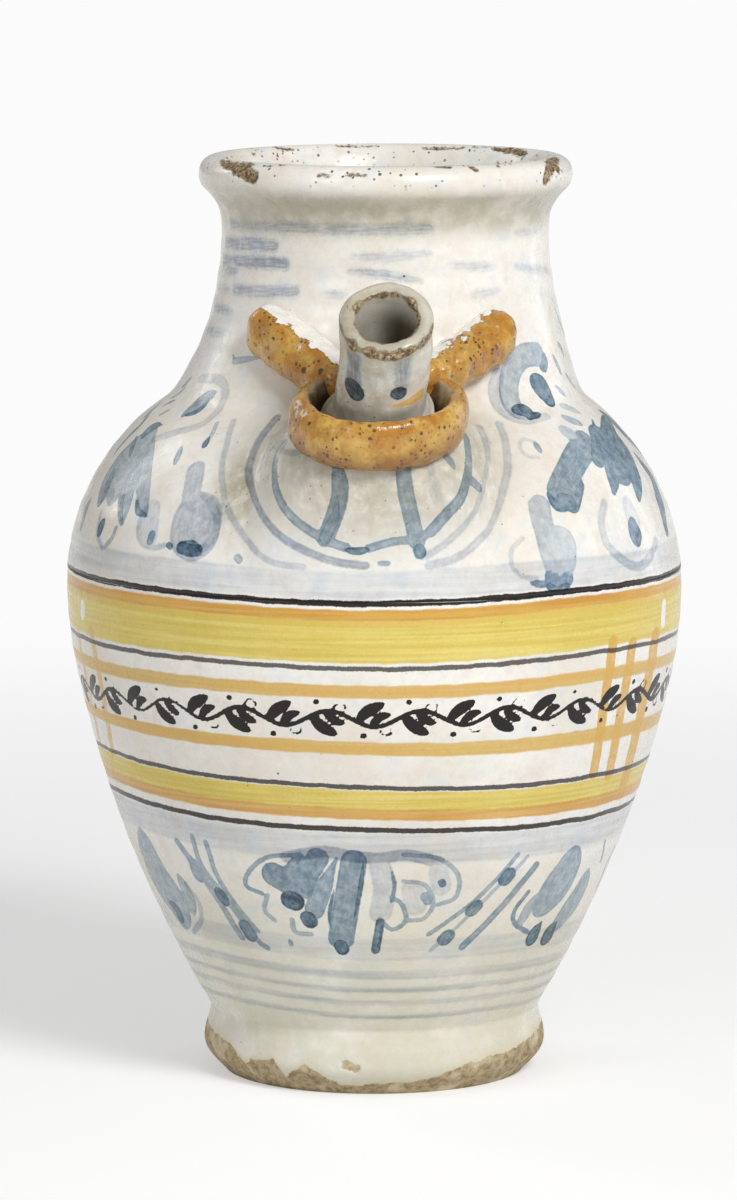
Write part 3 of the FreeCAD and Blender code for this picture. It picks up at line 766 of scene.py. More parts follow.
def lay_stroke(surface, layer, path, length, width, form, tone):
    """Adds a stroke's signed distance, across, along and tone to a layer of each piece it touches."""
    half = half_widths(width, length / length[-1], form)
    reach = width / 2 + 2.5
    for index, points in enumerate(surface.points):
        low = path.min(0) - reach
        high = path.max(0) + reach
        near = np.flatnonzero(np.all((points > low) & (points < high), axis=1))
        if not len(near):
            continue
        fields = surface.layers[index].setdefault(layer, {
            "distance": np.full(len(points), FAR),
            "across": np.zeros(len(points)),
            "along": np.zeros(len(points)),
            "tone": np.zeros(len(points)),
        })
        for part in np.array_split(near, max(1, len(near) // 4000)):
            spot = points[part]
            start, segment = path[:-1], np.diff(path, axis=0)
            offset = spot[:, None, :] - start[None]
            squares = np.maximum((segment**2).sum(1), 1e-9)
            t = np.clip(np.einsum("ijk,jk->ij", offset, segment) / squares, 0, 1)
            gap = offset - t[..., None] * segment[None]
            distance = np.linalg.norm(gap, axis=2)
            signed = distance - (half[:-1] + t * np.diff(half))
            best = signed.argmin(1)
            rows = np.arange(len(part))
            signed = signed[rows, best]
            side = np.cross(segment[best], surface.normals[index][part])
            sign = np.sign(np.einsum("ij,ij->i", gap[rows, best], side))
            closer = signed < fields["distance"][part]
            chosen = part[closer]
            fields["distance"][chosen] = signed[closer]
            fields["across"][chosen] = (sign * distance[rows, best])[closer]
            along = length[:-1][best] + t[rows, best] * np.diff(length)[best]
            fields["along"][chosen] = along[closer]
            fields["tone"][chosen] = tone


def brush(surface, window, turns, layer, tone, width, points, form="even"):
    """A stroke drawn in a window of the photograph, also turned about the jar's axis for its other sides.

    Where the surface turns away from the camera the stroke is wider on it than it looks.
    """
    hits = [surface.hit(window.pixel(point)) for point in points]
    hits = [hit for hit in hits if hit is not None]
    if len(hits) < 2:
        return
    places = [place for place, _ in hits]
    ahead = places[-1] - places[0]
    side = np.cross(ahead, np.mean([normal for _, normal in hits], axis=0))
    side /= np.linalg.norm(side)
    toward_eye = np.array(CAMERA_PLACE) - places[0]
    shortened = math.sqrt(max(0.0, 1 - (side @ toward_eye / np.linalg.norm(toward_eye)) ** 2))
    width = width / max(shortened, 0.5)
    for turn in turns:
        cosine, sine = math.cos(math.radians(turn)), math.sin(math.radians(turn))
        spin = np.array(((cosine, -sine, 0), (sine, cosine, 0), (0, 0, 1)))
        path, length = curve_through(np.array(places) @ spin.T)
        lay_stroke(surface, layer, path, length, width, form, tone)


LAYERS = ("haze", "pale", "slate", "dab", "ochre", "dark", "chip", "highlight_spot")


def note_layers(surface):
    """Hands every layer to the materials; a piece without strokes in a layer gets an empty one."""
    for piece, points, layers in zip(surface.pieces, surface.points, surface.layers):
        blank = np.zeros(len(points))
        empty = {"distance": blank + FAR, "across": blank, "along": blank, "tone": blank}
        for name in LAYERS:
            fields = layers.get(name, empty)
            note(piece, name, np.stack([fields["distance"], fields["across"], fields["along"]], axis=1))
            note(piece, name + "_tone", fields["tone"])


# Finishes


def colour(red, green, blue):
    """A colour as it is seen, 0 to 255, turned to the linear values that nodes use."""
    seen = np.array((red, green, blue)) / 255
    linear = np.where(seen <= 0.04045, seen / 12.92, ((seen + 0.055) / 1.055) ** 2.4)
    return (*linear, 1.0)


GLAZE_WHITE = colour(240, 237, 230)
GLAZE_CREAM = colour(230, 224, 212)
GLAZE_BLUE = colour(218, 222, 228)
GLAZE_GREY = colour(196, 192, 174)
GLAZE_OLIVE = colour(206, 202, 178)
GLAZE_PINK = colour(228, 214, 204)
# Greyer pooled glaze with painted shade, under the lip
UNDER_LIP_POOL_AND_SHADE = colour(180, 174, 152)
YELLOW = colour(225, 206, 114)
YELLOW_DEEP = colour(210, 188, 88)
OCHRE = colour(214, 170, 84)
OCHRE_DEEP = colour(200, 146, 62)
ORANGE_STRIPE = colour(214, 180, 100)
MANGANESE = colour(20, 10, 8)
MANGANESE_THIN = colour(74, 48, 36)
CLAY = colour(190, 172, 138)
CLAY_DARK = colour(142, 122, 90)
CLAY_PALE = colour(214, 200, 170)
BROWN_EDGE = colour(98, 74, 48)
SPECK = colour(46, 36, 30)
SPECK_BROWN = colour(74, 48, 26)
OCHRE_BURNT = colour(182, 124, 44)
OCHRE_LIGHT = colour(212, 172, 86)
OCHRE_BROWN = colour(128, 82, 32)
OCHRE_OLIVE = colour(160, 138, 72)
WHITE = (1.0, 1.0, 1.0, 1.0)


class Finish:
    """A material whose nodes are added one operation at a time; its space is millimetres on the piece."""

    def __init__(self, name):
        self.material = bpy.data.materials.new(name)
        self.material.use_nodes = True
        self.tree = self.material.node_tree
        self.tree.nodes.clear()
        place = self.add("ShaderNodeTexCoord").outputs["Object"]
        self.place = self.stretch(place, (1 / MM, 1 / MM, 1 / MM))

    def add(self, kind, inputs=(), **settings):
        node = self.tree.nodes.new(kind)
        for name, value in settings.items():
            setattr(node, name, value)
        for name, value in inputs:
            if isinstance(value, bpy.types.NodeSocket):
                self.tree.links.new(value, node.inputs[name])
            else:
                node.inputs[name].default_value = value
        return node

    def math(self, operation, a, b=0.0, c=0.0):
        return self.add("ShaderNodeMath", ((0, a), (1, b), (2, c)), operation=operation).outputs[0]

    def times(self, a, b):
        return self.math("MULTIPLY", a, b)

    def plus(self, a, b):
        return self.math("ADD", a, b)

    def minus(self, a, b):
        return self.math("SUBTRACT", a, b)

    def larger(self, a, b):
        return self.math("MAXIMUM", a, b)

    def smaller(self, a, b):
        return self.math("MINIMUM", a, b)

    def wander(self, value, amount, scale, detail, rough=0.5):
        """The value, moved up and down by noise up to half of amount."""
        base = self.minus(value, amount / 2)
        return self.math("MULTIPLY_ADD", self.noise(scale, detail, rough), amount, base)

    def stretch(self, vector, scale):
        return self.add("ShaderNodeVectorMath", ((0, vector), (1, scale)), operation="MULTIPLY").outputs[0]

    def step(self, value, start, end, low=0.0, high=1.0):
        """An even curve from low to high as the value goes from start to end."""
        inputs = (("Value", value), ("From Min", start), ("From Max", end), ("To Min", low), ("To Max", high))
        return self.add("ShaderNodeMapRange", inputs, interpolation_type="SMOOTHSTEP").outputs[0]

    def mix(self, share, a, b, blend="MIX"):
        inputs = ((0, share), (6, a), (7, b))
        node = self.add("ShaderNodeMix", inputs, data_type="RGBA", blend_type=blend, clamp_factor=True)
        return node.outputs[2]

    def noise(self, scale, detail=2.0, rough=0.5, vector=None):
        place = vector or self.place
        inputs = (("Vector", place), ("Scale", scale), ("Detail", detail), ("Roughness", rough))
        return self.add("ShaderNodeTexNoise", inputs).outputs[0]

    def value(self, name):
        return self.add("ShaderNodeAttribute", attribute_name=name).outputs["Fac"]

    def triple(self, name):
        vector = self.add("ShaderNodeAttribute", attribute_name=name).outputs["Vector"]
        return self.add("ShaderNodeSeparateXYZ", ((0, vector),)).outputs

    def height(self):
        return self.add("ShaderNodeSeparateXYZ", ((0, self.place),)).outputs[2]

    def join(self, x, y, z):
        return self.add("ShaderNodeCombineXYZ", ((0, x), (1, y), (2, z))).outputs[0]

    def ramp(self, value, stops):
        node = self.add("ShaderNodeValToRGB", (("Fac", value),))
        band = node.color_ramp
        while len(band.elements) < len(stops):
            band.elements.new(0.5)
        for element, (position, shade) in zip(band.elements, stops):
            element.position = position
            element.color = shade
        return node.outputs[0]

    def specks(self, spacing, largest, share):
        """Round specks in some cells of a grid about spacing millimetres wide: 1 inside a speck."""
        inputs = (("Vector", self.place), ("Scale", 1 / spacing))
        node = self.add("ShaderNodeTexVoronoi", inputs, feature="F1")
        luck = self.add("ShaderNodeSeparateXYZ", ((0, node.outputs["Color"]),)).outputs
        size = self.step(luck[0], 1.0 - share, 1.0, 0.0, largest / spacing)
        gap = self.minus(node.outputs["Distance"], size)
        return self.step(gap, 0.012, -0.012)

    def finish(self, base, roughness, bumps, gloss=0.38):
        """Principled surface; bumps is a list of (height, millimetres)."""
        normal = None
        for height, depth in bumps:
            inputs = [("Height", height), ("Distance", depth * MM), ("Strength", 1.0)]
            if normal is not None:
                inputs.append(("Normal", normal))
            normal = self.add("ShaderNodeBump", inputs).outputs[0]
        inputs = [("Base Color", base), ("Roughness", roughness), ("IOR", 1.5), ("Specular IOR Level", gloss)]
        if normal is not None:
            inputs.append(("Normal", normal))
        surface = self.add("ShaderNodeBsdfPrincipled", inputs)
        output = self.add("ShaderNodeOutputMaterial")
        self.tree.links.new(surface.outputs[0], output.inputs["Surface"])
        return self.material


# Grey-brown of grime, also used as painted shade round the collar, in the mound's valley and on the collar's
# inner faces
GRIME_AND_SHADE = colour(168, 160, 136)
# Painted shade inside the spout's bore
BORE_SHADE_BROWN = colour(84, 72, 50)

# How much of the white shows through a thin mauve wash, from none to the thickest
PALE_WASH = (
    (0.0, (1.0, 1.0, 1.0, 1.0)),
    (0.15, (0.84, 0.87, 0.915, 1.0)),
    (0.45, (0.48, 0.54, 0.64, 1.0)),
    (1.0, (0.16, 0.2, 0.29, 1.0)),
)
# The same through a wash of blue
BLUE_WASH = (
    (0.0, (1.0, 1.0, 1.0, 1.0)),
    (0.15, (0.8, 0.85, 0.91, 1.0)),
    (0.45, (0.41, 0.51, 0.63, 1.0)),
    (0.7, (0.2, 0.31, 0.42, 1.0)),
    (0.88, (0.12, 0.19, 0.28, 1.0)),
    (1.0, (0.06, 0.09, 0.14, 1.0)),
)


def brushed(finish, layer, rough, soft, streaks=0.2):
    """Strength of a layer of strokes: ragged edge, streaks along the brush and a rim where colour pooled."""
    distance, across, along = finish.triple(layer)
    edge = finish.wander(distance, rough, 0.9, 3.0)
    mask = finish.step(edge, soft, -soft)
    lane = finish.join(finish.times(across, 1.5), finish.times(along, 0.12), 0.0)
    streak = finish.step(finish.noise(1.0, 3.0, 0.6, vector=lane), 0.3, 0.7)
    pool = finish.step(edge, -1.1, -0.1)
    blotch = finish.step(finish.noise(0.4, 4.0, 0.7), 0.3, 0.7, 0.66, 1.1)
    body = finish.math("MULTIPLY_ADD", streak, streaks, finish.minus(blotch, 0.4 * streaks - 0.06))
    body = finish.math("MULTIPLY_ADD", pool, 0.16, body)
    tone = finish.times(finish.value(layer + "_tone"), body)
    return finish.times(mask, tone)


# Painted bands of the jar by height: bottom, top, colour, second colour, strength
YELLOW_BANDS = (
    (133.2, 145.5, YELLOW, YELLOW_DEEP, 1.0),
    (143.6, 146.4, OCHRE, YELLOW_DEEP, 0.6),
    (145.4, 148.5, OCHRE, OCHRE_DEEP, 1.0),
    (122.9, 126.7, ORANGE_STRIPE, OCHRE, 0.95),
    (105.9, 109.9, ORANGE_STRIPE, OCHRE, 0.95),
    (89.3, 95.2, YELLOW, YELLOW_DEEP, 1.0),
    (86.4, 89.7, OCHRE, OCHRE_DEEP, 0.95),
)
# Pale blue bands: bottom, top, strength
BLUE_BANDS = (
    (151.8, 159.4, 0.2),
    (73.6, 82.0, 0.2),
    (43.0, 49.4, 0.17),
    (36.9, 39.4, 0.24),
    (32.6, 34.0, 0.28),
    (28.3, 29.9, 0.26),
    (23.8, 25.2, 0.3),
)
# Dark lines: height, width, thinness of the colour
DARK_LINES = (
    (150.3, 1.8, 0.05),
    (131.6, 1.4, 0.5),
    (96.2, 1.4, 0.4),
    (83.3, 1.6, 0.2),
)
# How far the edges of the lines wander
LINE_WAVER = 0.7


def add_lines(finish, base, level):
    """The dark lines round the jar, dry in places."""
    grain = finish.noise(2.2, 3.0, 0.65)
    for height, width, thinness in DARK_LINES:
        gap = finish.math("ABSOLUTE", finish.minus(level, height))
        gap = finish.math("MULTIPLY_ADD", grain, LINE_WAVER, finish.minus(gap, LINE_WAVER / 2))
        mask = finish.step(gap, width / 2 + 0.12, width / 2 - 0.12)
        dry = finish.step(grain, 0.75 - 0.5 * thinness, 0.8 - 0.3 * thinness)
        tint = finish.mix(dry, MANGANESE, MANGANESE_THIN)
        base = finish.mix(finish.times(mask, 1.0 - 0.25 * thinness), base, tint)
    return base


def add_bands(finish, base, level):
    """Yellow and ochre bands laid on with a loaded brush while the jar turned."""
    streak = finish.noise(1.0, 3.0, vector=finish.stretch(finish.place, (0.02, 0.02, 1.1)))
    patch = finish.noise(0.05, 3.0)
    grain = finish.noise(0.9, 4.0, 0.7)
    for low, high, main, second, strength in YELLOW_BANDS:
        into = finish.step(level, low - 0.35, low + 0.35)
        out = finish.step(level, high + 0.35, high - 0.35)
        mask = finish.times(into, out)
        loaded = finish.plus(streak, finish.times(patch, 0.4))
        shade = finish.mix(finish.step(loaded, 0.5, 0.95), main, second)
        shade = finish.mix(finish.step(grain, 0.5, 0.8, 0.0, 0.35), shade, OCHRE_DEEP)
        thick = finish.times(mask, finish.step(streak, 0.2, 0.5, strength * 0.9, strength))
        base = finish.mix(thick, base, shade)
    return base


def glaze_white(finish, with_bands):
    """Tin white with its clouds: bluer or creamier in places, greyer low down, and greyer pooled glaze with
    painted shade under the lip.
    """
    cloud = finish.noise(0.018, 3.0, 0.55)
    mottle = finish.noise(0.11, 4.0, 0.6)
    fine = finish.noise(0.4, 3.0, 0.6)
    base = finish.mix(finish.step(cloud, 0.4, 0.62), GLAZE_WHITE, GLAZE_CREAM)
    base = finish.mix(finish.step(mottle, 0.5, 0.68, 0.0, 0.5), base, GLAZE_BLUE)
    base = finish.mix(finish.step(mottle, 0.48, 0.34, 0.0, 0.45), base, GLAZE_PINK)
    base = finish.mix(finish.step(fine, 0.45, 0.75, 0.0, 0.2), base, GLAZE_GREY)
    if with_bands:
        height = finish.height()
        patch = finish.noise(0.06, 4.0, 0.65)
        low = finish.times(finish.step(height, 88.0, 14.0), finish.step(patch, 0.3, 0.6, 0.35, 1.0))
        base = finish.mix(finish.times(low, 0.75), base, GLAZE_OLIVE)
        # Greyer pooled glaze with painted shade in a band under the flared lip
        under = finish.times(finish.step(height, 246.0, 254.0), finish.step(height, 266.0, 258.0))
        base = finish.mix(finish.times(under, finish.step(mottle, 0.3, 0.6, 0.3, 0.85)), base, UNDER_LIP_POOL_AND_SHADE)
    return base


def hand_drawn_level(finish):
    """The height for the painted bands, wavering with the brush."""
    return finish.wander(finish.value("level"), 1.3, 0.12, 3.0, 0.6)


def blue_bands(finish, level):
    """Strength of the pale blue bands, streaked as the jar turned under the brush."""
    total = 0.0
    streak = finish.noise(1.0, 2.0, vector=finish.stretch(finish.place, (0.03, 0.03, 0.6)))
    for low, high, strength in BLUE_BANDS:
        into = finish.step(level, low - 0.7, low + 0.5)
        out = finish.step(level, high + 0.7, high - 0.5)
        density = finish.step(streak, 0.25, 0.75, 0.55 * strength, 1.3 * strength)
        total = finish.plus(total, finish.times(density, finish.times(into, out)))
    return total


def add_washes(finish, base, level):
    """Blue washes and strokes over the white, then the bands, the ochre and the dark strokes over those."""
    pale = brushed(finish, "pale", 0.7, 0.4, 0.3)
    pale = finish.plus(pale, brushed(finish, "haze", 1.6, 1.2, 0.8))
    slate = brushed(finish, "slate", 0.45, 0.16)
    slate = finish.larger(slate, brushed(finish, "dab", 0.4, 0.2))
    if level is not None:
        pale = finish.plus(pale, blue_bands(finish, level))
    base = finish.mix(1.0, base, finish.ramp(pale, PALE_WASH), blend="MULTIPLY")
    base = finish.mix(1.0, base, finish.ramp(slate, BLUE_WASH), blend="MULTIPLY")
    if level is not None:
        base = add_bands(finish, base, level)
        # Painted highlights: white ovals on the yellow band near the belly's edges
        worn = finish.step(finish.triple("highlight_spot")[0], 0.3, -0.3)
        base = finish.mix(worn, base, GLAZE_WHITE)
    ochre = brushed(finish, "ochre", 0.5, 0.2)
    base = finish.mix(finish.smaller(ochre, 0.95), base, OCHRE)
    if level is not None:
        base = add_lines(finish, base, level)
    dark = brushed(finish, "dark", 0.4, 0.14)
    grain = finish.noise(1.6, 3.0, 0.7)
    ink = finish.mix(finish.step(grain, 0.6, 0.78), MANGANESE, MANGANESE_THIN)
    return finish.mix(finish.step(dark, 0.1, 0.45), base, ink)


def pinholes(finish, grime_and_shade, on_lip):
    """Dark specks in the glaze: most where the grime and painted shade are, and on the worn crest of the lip.
    """
    specks = finish.larger(finish.specks(9.0, 0.42, 0.3), finish.specks(3.0, 0.22, 0.16))
    if on_lip:
        crest = finish.step(finish.height(), 262.0, 267.5)
        specks = finish.larger(specks, finish.times(finish.specks(1.5, 0.5, 0.45), crest))
    return finish.larger(specks, finish.times(finish.specks(1.5, 0.3, 0.3), grime_and_shade))


def painted_glaze(name, with_bands, with_foot, worn_lip=False):
    """Tin glaze with its painting, specks and chips; with_bands for the jar's own bands."""
    finish = Finish(name)
    base = glaze_white(finish, with_bands)
    grime_and_shade = finish.value("grime_and_shade")
    soil = finish.noise(0.3, 5.0, 0.7)
    # Grime and painted shade: grey-brown round the collar, in the valley beside the mound and on the spout's
    # left side
    base = finish.mix(finish.times(grime_and_shade, finish.step(soil, 0.25, 0.65, 0.35, 1.0)), base, GRIME_AND_SHADE)
    base = add_washes(finish, base, hand_drawn_level(finish) if with_bands else None)
    specks = pinholes(finish, grime_and_shade, with_bands)
    base = finish.mix(finish.times(specks, 0.85), base, SPECK)
    gap = finish.triple("chip")[0]
    if worn_lip:
        gap = finish.smaller(gap, finish.value("worn"))
    ragged = 1.6 if worn_lip else 3.0
    gap = finish.wander(gap, ragged, 1.8 / ragged, 5.0, 0.75)
    bare = finish.step(gap, 0.1, -0.1)
    clay = clay_colour(finish)
    if worn_lip:
        base = finish.mix(finish.step(gap, 3.0, 0.4, 0.0, 0.5), base, GRIME_AND_SHADE)
    if with_foot:
        gap = finish.wander(finish.value("glaze_edge"), 3.4, 0.4, 5.0, 0.7)
        thin = finish.step(gap, 2.6, 0.2, 0.0, 0.6)
        base = finish.mix(thin, base, CLAY_PALE)
        bare = finish.larger(bare, finish.step(gap, 0.2, -0.2))
    else:
        clay = finish.mix(finish.step(finish.noise(0.9, 4.0, 0.7), 0.35, 0.6), clay, BROWN_EDGE)
        edge = finish.step(gap, 0.5, 0.1, 0.0, 0.6)
        base = finish.mix(edge, base, BROWN_EDGE)
    base = finish.mix(bare, base, clay)
    # Painted shade in the spout's bore, darker further in and on its right side
    if worn_lip:
        base = finish.mix(finish.times(finish.value("hollow_shade_and_pool"), 0.95), base, BORE_SHADE_BROWN)
    satin = finish.step(soil, 0.3, 0.7, 0.2, 0.34)
    roughness = finish.larger(satin, finish.times(bare, 0.85))
    grit = finish.times(finish.noise(1.2, 4.0, 0.6), bare)
    bumps = [
        (finish.noise(0.09, 2.0), 0.4),
        (finish.noise(0.35, 2.0), 0.015),
        (specks, -0.06),
        (grit, 0.3),
        (bare, -0.35),
    ]
    return finish.finish(base, roughness, bumps)


def clay_colour(finish):
    """Buff clay, darker in its hollows and paler on its high spots."""
    grain = finish.noise(0.5, 5.0, 0.7)
    shade = finish.mix(finish.step(grain, 0.35, 0.6), CLAY_DARK, CLAY)
    return finish.mix(finish.step(finish.noise(0.16, 3.0), 0.5, 0.7), shade, CLAY_PALE)


def ochre_glaze(name, white_cover):
    """Thick ochre glaze with brown pits, browner on its underside as painted shade; white where cover is
    above 0, and on the faces turned inward greyer pooled glaze, then brown painted shade.
    """
    finish = Finish(name)
    cloud = finish.noise(0.14, 4.0, 0.65)
    fine = finish.noise(0.8, 4.0, 0.7)
    base = finish.mix(finish.step(cloud, 0.36, 0.64), OCHRE_BURNT, OCHRE_LIGHT)
    base = finish.mix(finish.step(fine, 0.5, 0.78, 0.0, 0.7), base, OCHRE_BROWN)
    base = finish.mix(finish.step(finish.noise(0.3, 3.0), 0.6, 0.72, 0.0, 0.45), base, OCHRE_OLIVE)
    cluster = finish.step(finish.noise(0.1, 2.0), 0.4, 0.52, 0.1, 1.0)
    pits = finish.times(finish.specks(1.3, 0.56, 0.7), cluster)
    # Painted shade: browner on the faces that turn down
    base = finish.mix(finish.times(finish.value("low"), 0.6), base, OCHRE_BROWN)
    base = finish.mix(finish.times(cluster, 0.2), base, OCHRE_BROWN)
    pits = finish.larger(pits, finish.specks(5.0, 1.0, 0.3))
    base = finish.mix(finish.times(pits, 0.85), base, SPECK_BROWN)
    roughness = 0.2
    if white_cover:
        bare = finish.wander(finish.value("cover"), 8.0, 0.22, 5.0, 0.75)
        white = finish.mix(finish.step(cloud, 0.4, 0.65), GLAZE_WHITE, GLAZE_CREAM)
        edge = finish.times(finish.step(bare, -1.2, -0.2), 0.6)
        base = finish.mix(edge, base, OCHRE_BROWN)
        base = finish.mix(finish.step(bare, -0.2, 0.2), base, white)
    else:
        # Faces turned inward: greyer pooled glaze, then brown painted shade further in
        hollow_shade_and_pool = finish.value("hollow_shade_and_pool")
        base = finish.mix(finish.step(hollow_shade_and_pool, 0.1, 0.4, 0.0, 0.75), base, GRIME_AND_SHADE)
        base = finish.mix(finish.step(hollow_shade_and_pool, 0.35, 1.0, 0.0, 0.95), base, SPECK_BROWN)
    bumps = [(cloud, 0.5), (fine, 0.08), (pits, -0.3)]
    return finish.finish(base, roughness, bumps, gloss=0.6)


# The painting, as strokes: layer, tone, width in millimetres, points in the window, and the form where it
# isn't even

SHOULDER_LEFT = Window(60, 360, 340)
SHOULDER_LEFT_STROKES = (
    ("pale", 0.24, 1.8, [(650, 85), (730, 90), (762, 135), (745, 205), (690, 270), (620, 310), (440, 365)]),
    ("slate", 0.5, 2.9, [(565, 258), (640, 200), (715, 150)], "leaf"),
    ("dab", 0.74, 1.3, [(572, 256), (630, 238), (690, 175)], "leaf"),
    ("slate", 0.3, 1.2, [(724, 290), (700, 345), (672, 380)]),
    ("dab", 0.72, 1.7, [(690, 350), (668, 392)], "drop"),
    ("slate", 0.5, 1.9, [(562, 398), (545, 440), (528, 485)], "leaf"),
    ("pale", 0.34, 5.4, [(625, 510), (612, 580), (600, 660)]),
    ("pale", 0.38, 14.0, [(628, 740), (618, 790)]),
    ("slate", 0.2, 2.2, [(690, 650), (722, 720), (716, 800), (668, 868)]),
    ("dab", 0.82, 3.8, [(560, 865), (600, 878), (632, 878)]),
    ("slate", 0.6, 1.8, [(500, 852), (510, 862)]),
    ("slate", 0.62, 2.0, [(548, 845), (620, 850), (650, 900)], "leaf"),
    ("pale", 0.3, 1.6, [(380, 700), (360, 780), (372, 840), (430, 866), (480, 855)]),
    ("pale", 0.22, 5.5, [(420, 700), (410, 800)]),
    ("slate", 0.45, 1.9, [(425, 805), (415, 832)]),
    ("slate", 0.44, 5.2, [(385, 345), (250, 510), (182, 662)], "leaf"),
    ("slate", 0.46, 6.0, [(402, 350), (318, 560), (286, 750)], "leaf"),
    ("slate", 0.42, 5.6, [(430, 330), (385, 560), (395, 718)], "leaf"),
    ("slate", 0.38, 7.0, [(430, 320), (330, 450), (235, 650)], "leaf"),
    ("dab", 0.64, 3.4, [(470, 300), (425, 312), (398, 335)], "drop"),
    ("dab", 0.68, 2.0, [(355, 350), (335, 395), (322, 450)], "leaf"),
    ("dab", 0.66, 2.0, [(250, 500), (222, 580), (186, 660)], "leaf"),
    ("dab", 0.66, 1.5, [(300, 600), (282, 680), (288, 752)], "leaf"),
    ("dab", 0.68, 2.2, [(352, 640), (362, 700), (404, 716)], "leaf"),
    ("slate", 0.42, 2.2, [(142, 640), (110, 720), (95, 785)], "leaf"),
    ("dab", 0.75, 1.9, [(205, 738), (186, 775), (180, 812)], "leaf"),
    ("slate", 0.35, 1.2, [(258, 775), (240, 820), (208, 860)]),
    ("pale", 0.3, 1.1, [(190, 700), (172, 800), (196, 866)]),
    ("slate", 0.42, 1.1, [(612, 70), (585, 105), (556, 132)], "leaf"),
    ("slate", 0.35, 1.1, [(585, 120), (540, 160), (505, 180)], "leaf"),
    ("slate", 0.5, 1.2, [(532, 186), (500, 198), (470, 215)], "leaf"),
    ("slate", 0.4, 1.2, [(505, 232), (480, 242), (455, 257)], "leaf"),
    ("slate", 0.4, 1.6, [(470, 190), (420, 235), (385, 270)], "leaf"),
    ("slate", 0.5, 1.3, [(420, 240), (370, 300), (300, 370), (240, 450)], "leaf"),
)
MOUND = Window(200, 440, 320)
MOUND_STROKES = (
    ("pale", 0.26, 2.0, [
        (164, -94), (132, 16), (107, 142), (126, 308), (176, 413), (260, 528), (355, 599), (505, 624),
    ]),
    ("pale", 0.44, 2.4, [
        (378, -111), (291, 0), (252, 94), (239, 173), (268, 283), (323, 394), (417, 488), (536, 552),
        (662, 596), (811, 617),
    ]),
    ("slate", 0.44, 2.5, [
        (413, 16), (371, 94), (366, 205), (391, 291), (454, 381), (536, 444), (630, 497), (717, 528),
    ]),
    ("pale", 0.36, 2.0, [(350, 41), (457, 63), (552, 25)]),
    ("dab", 0.74, 2.3, [(706, 536), (772, 545), (835, 533)], "leaf"),
    ("slate", 0.44, 2.4, [(827, 531), (946, 498), (1059, 485), (1132, 451)]),
    ("slate", 0.5, 3.0, [(1132, 448), (1205, 366), (1280, 280), (1308, 189), (1317, 94), (1304, -16)]),
    ("slate", 0.56, 1.4, [(1280, 277), (1321, 173), (1311, 94)]),
    ("slate", 0.5, 4.9, [(681, 63), (687, 236), (674, 323), (638, 425), (612, 485)]),
    ("dab", 0.58, 3.8, [(674, 252), (662, 370), (609, 485)], "drop"),
    ("dab", 0.84, 3.0, [(617, 466), (605, 488)]),
    ("slate", 0.46, 4.6, [(990, 111), (1008, 252), (1034, 370), (1065, 501)]),
    ("slate", 0.5, 2.2, [(1047, 378), (1071, 520)]),
    ("dab", 0.64, 3.6, [(1073, 536), (1079, 555)]),
    ("slate", 0.46, 2.6, [(1317, 186), (1368, 233)]),
    ("pale", 0.24, 2.1, [
        (1368, -63), (1397, 0), (1410, 94), (1393, 205), (1358, 323), (1260, 457), (1151, 544),
        (1094, 570),
    ]),
    ("pale", 0.26, 2.5, [
        (1465, -78), (1494, 0), (1508, 126), (1491, 221), (1449, 363), (1371, 488), (1260, 575),
        (1122, 614),
    ]),
    ("slate", 0.36, 2.0, [(1185, 70), (1223, 98), (1249, 142)], "leaf"),
    ("haze", 0.2, 2.0, [(1115, 78), (1138, 189), (1163, 291)]),
    ("slate", 0.36, 1.5, [(882, 605), (923, 604)]),
    ("slate", 0.34, 2.4, [(183, 577), (192, 586)]),
)
SHOULDER_RIGHT = Window(380, 340, 320)
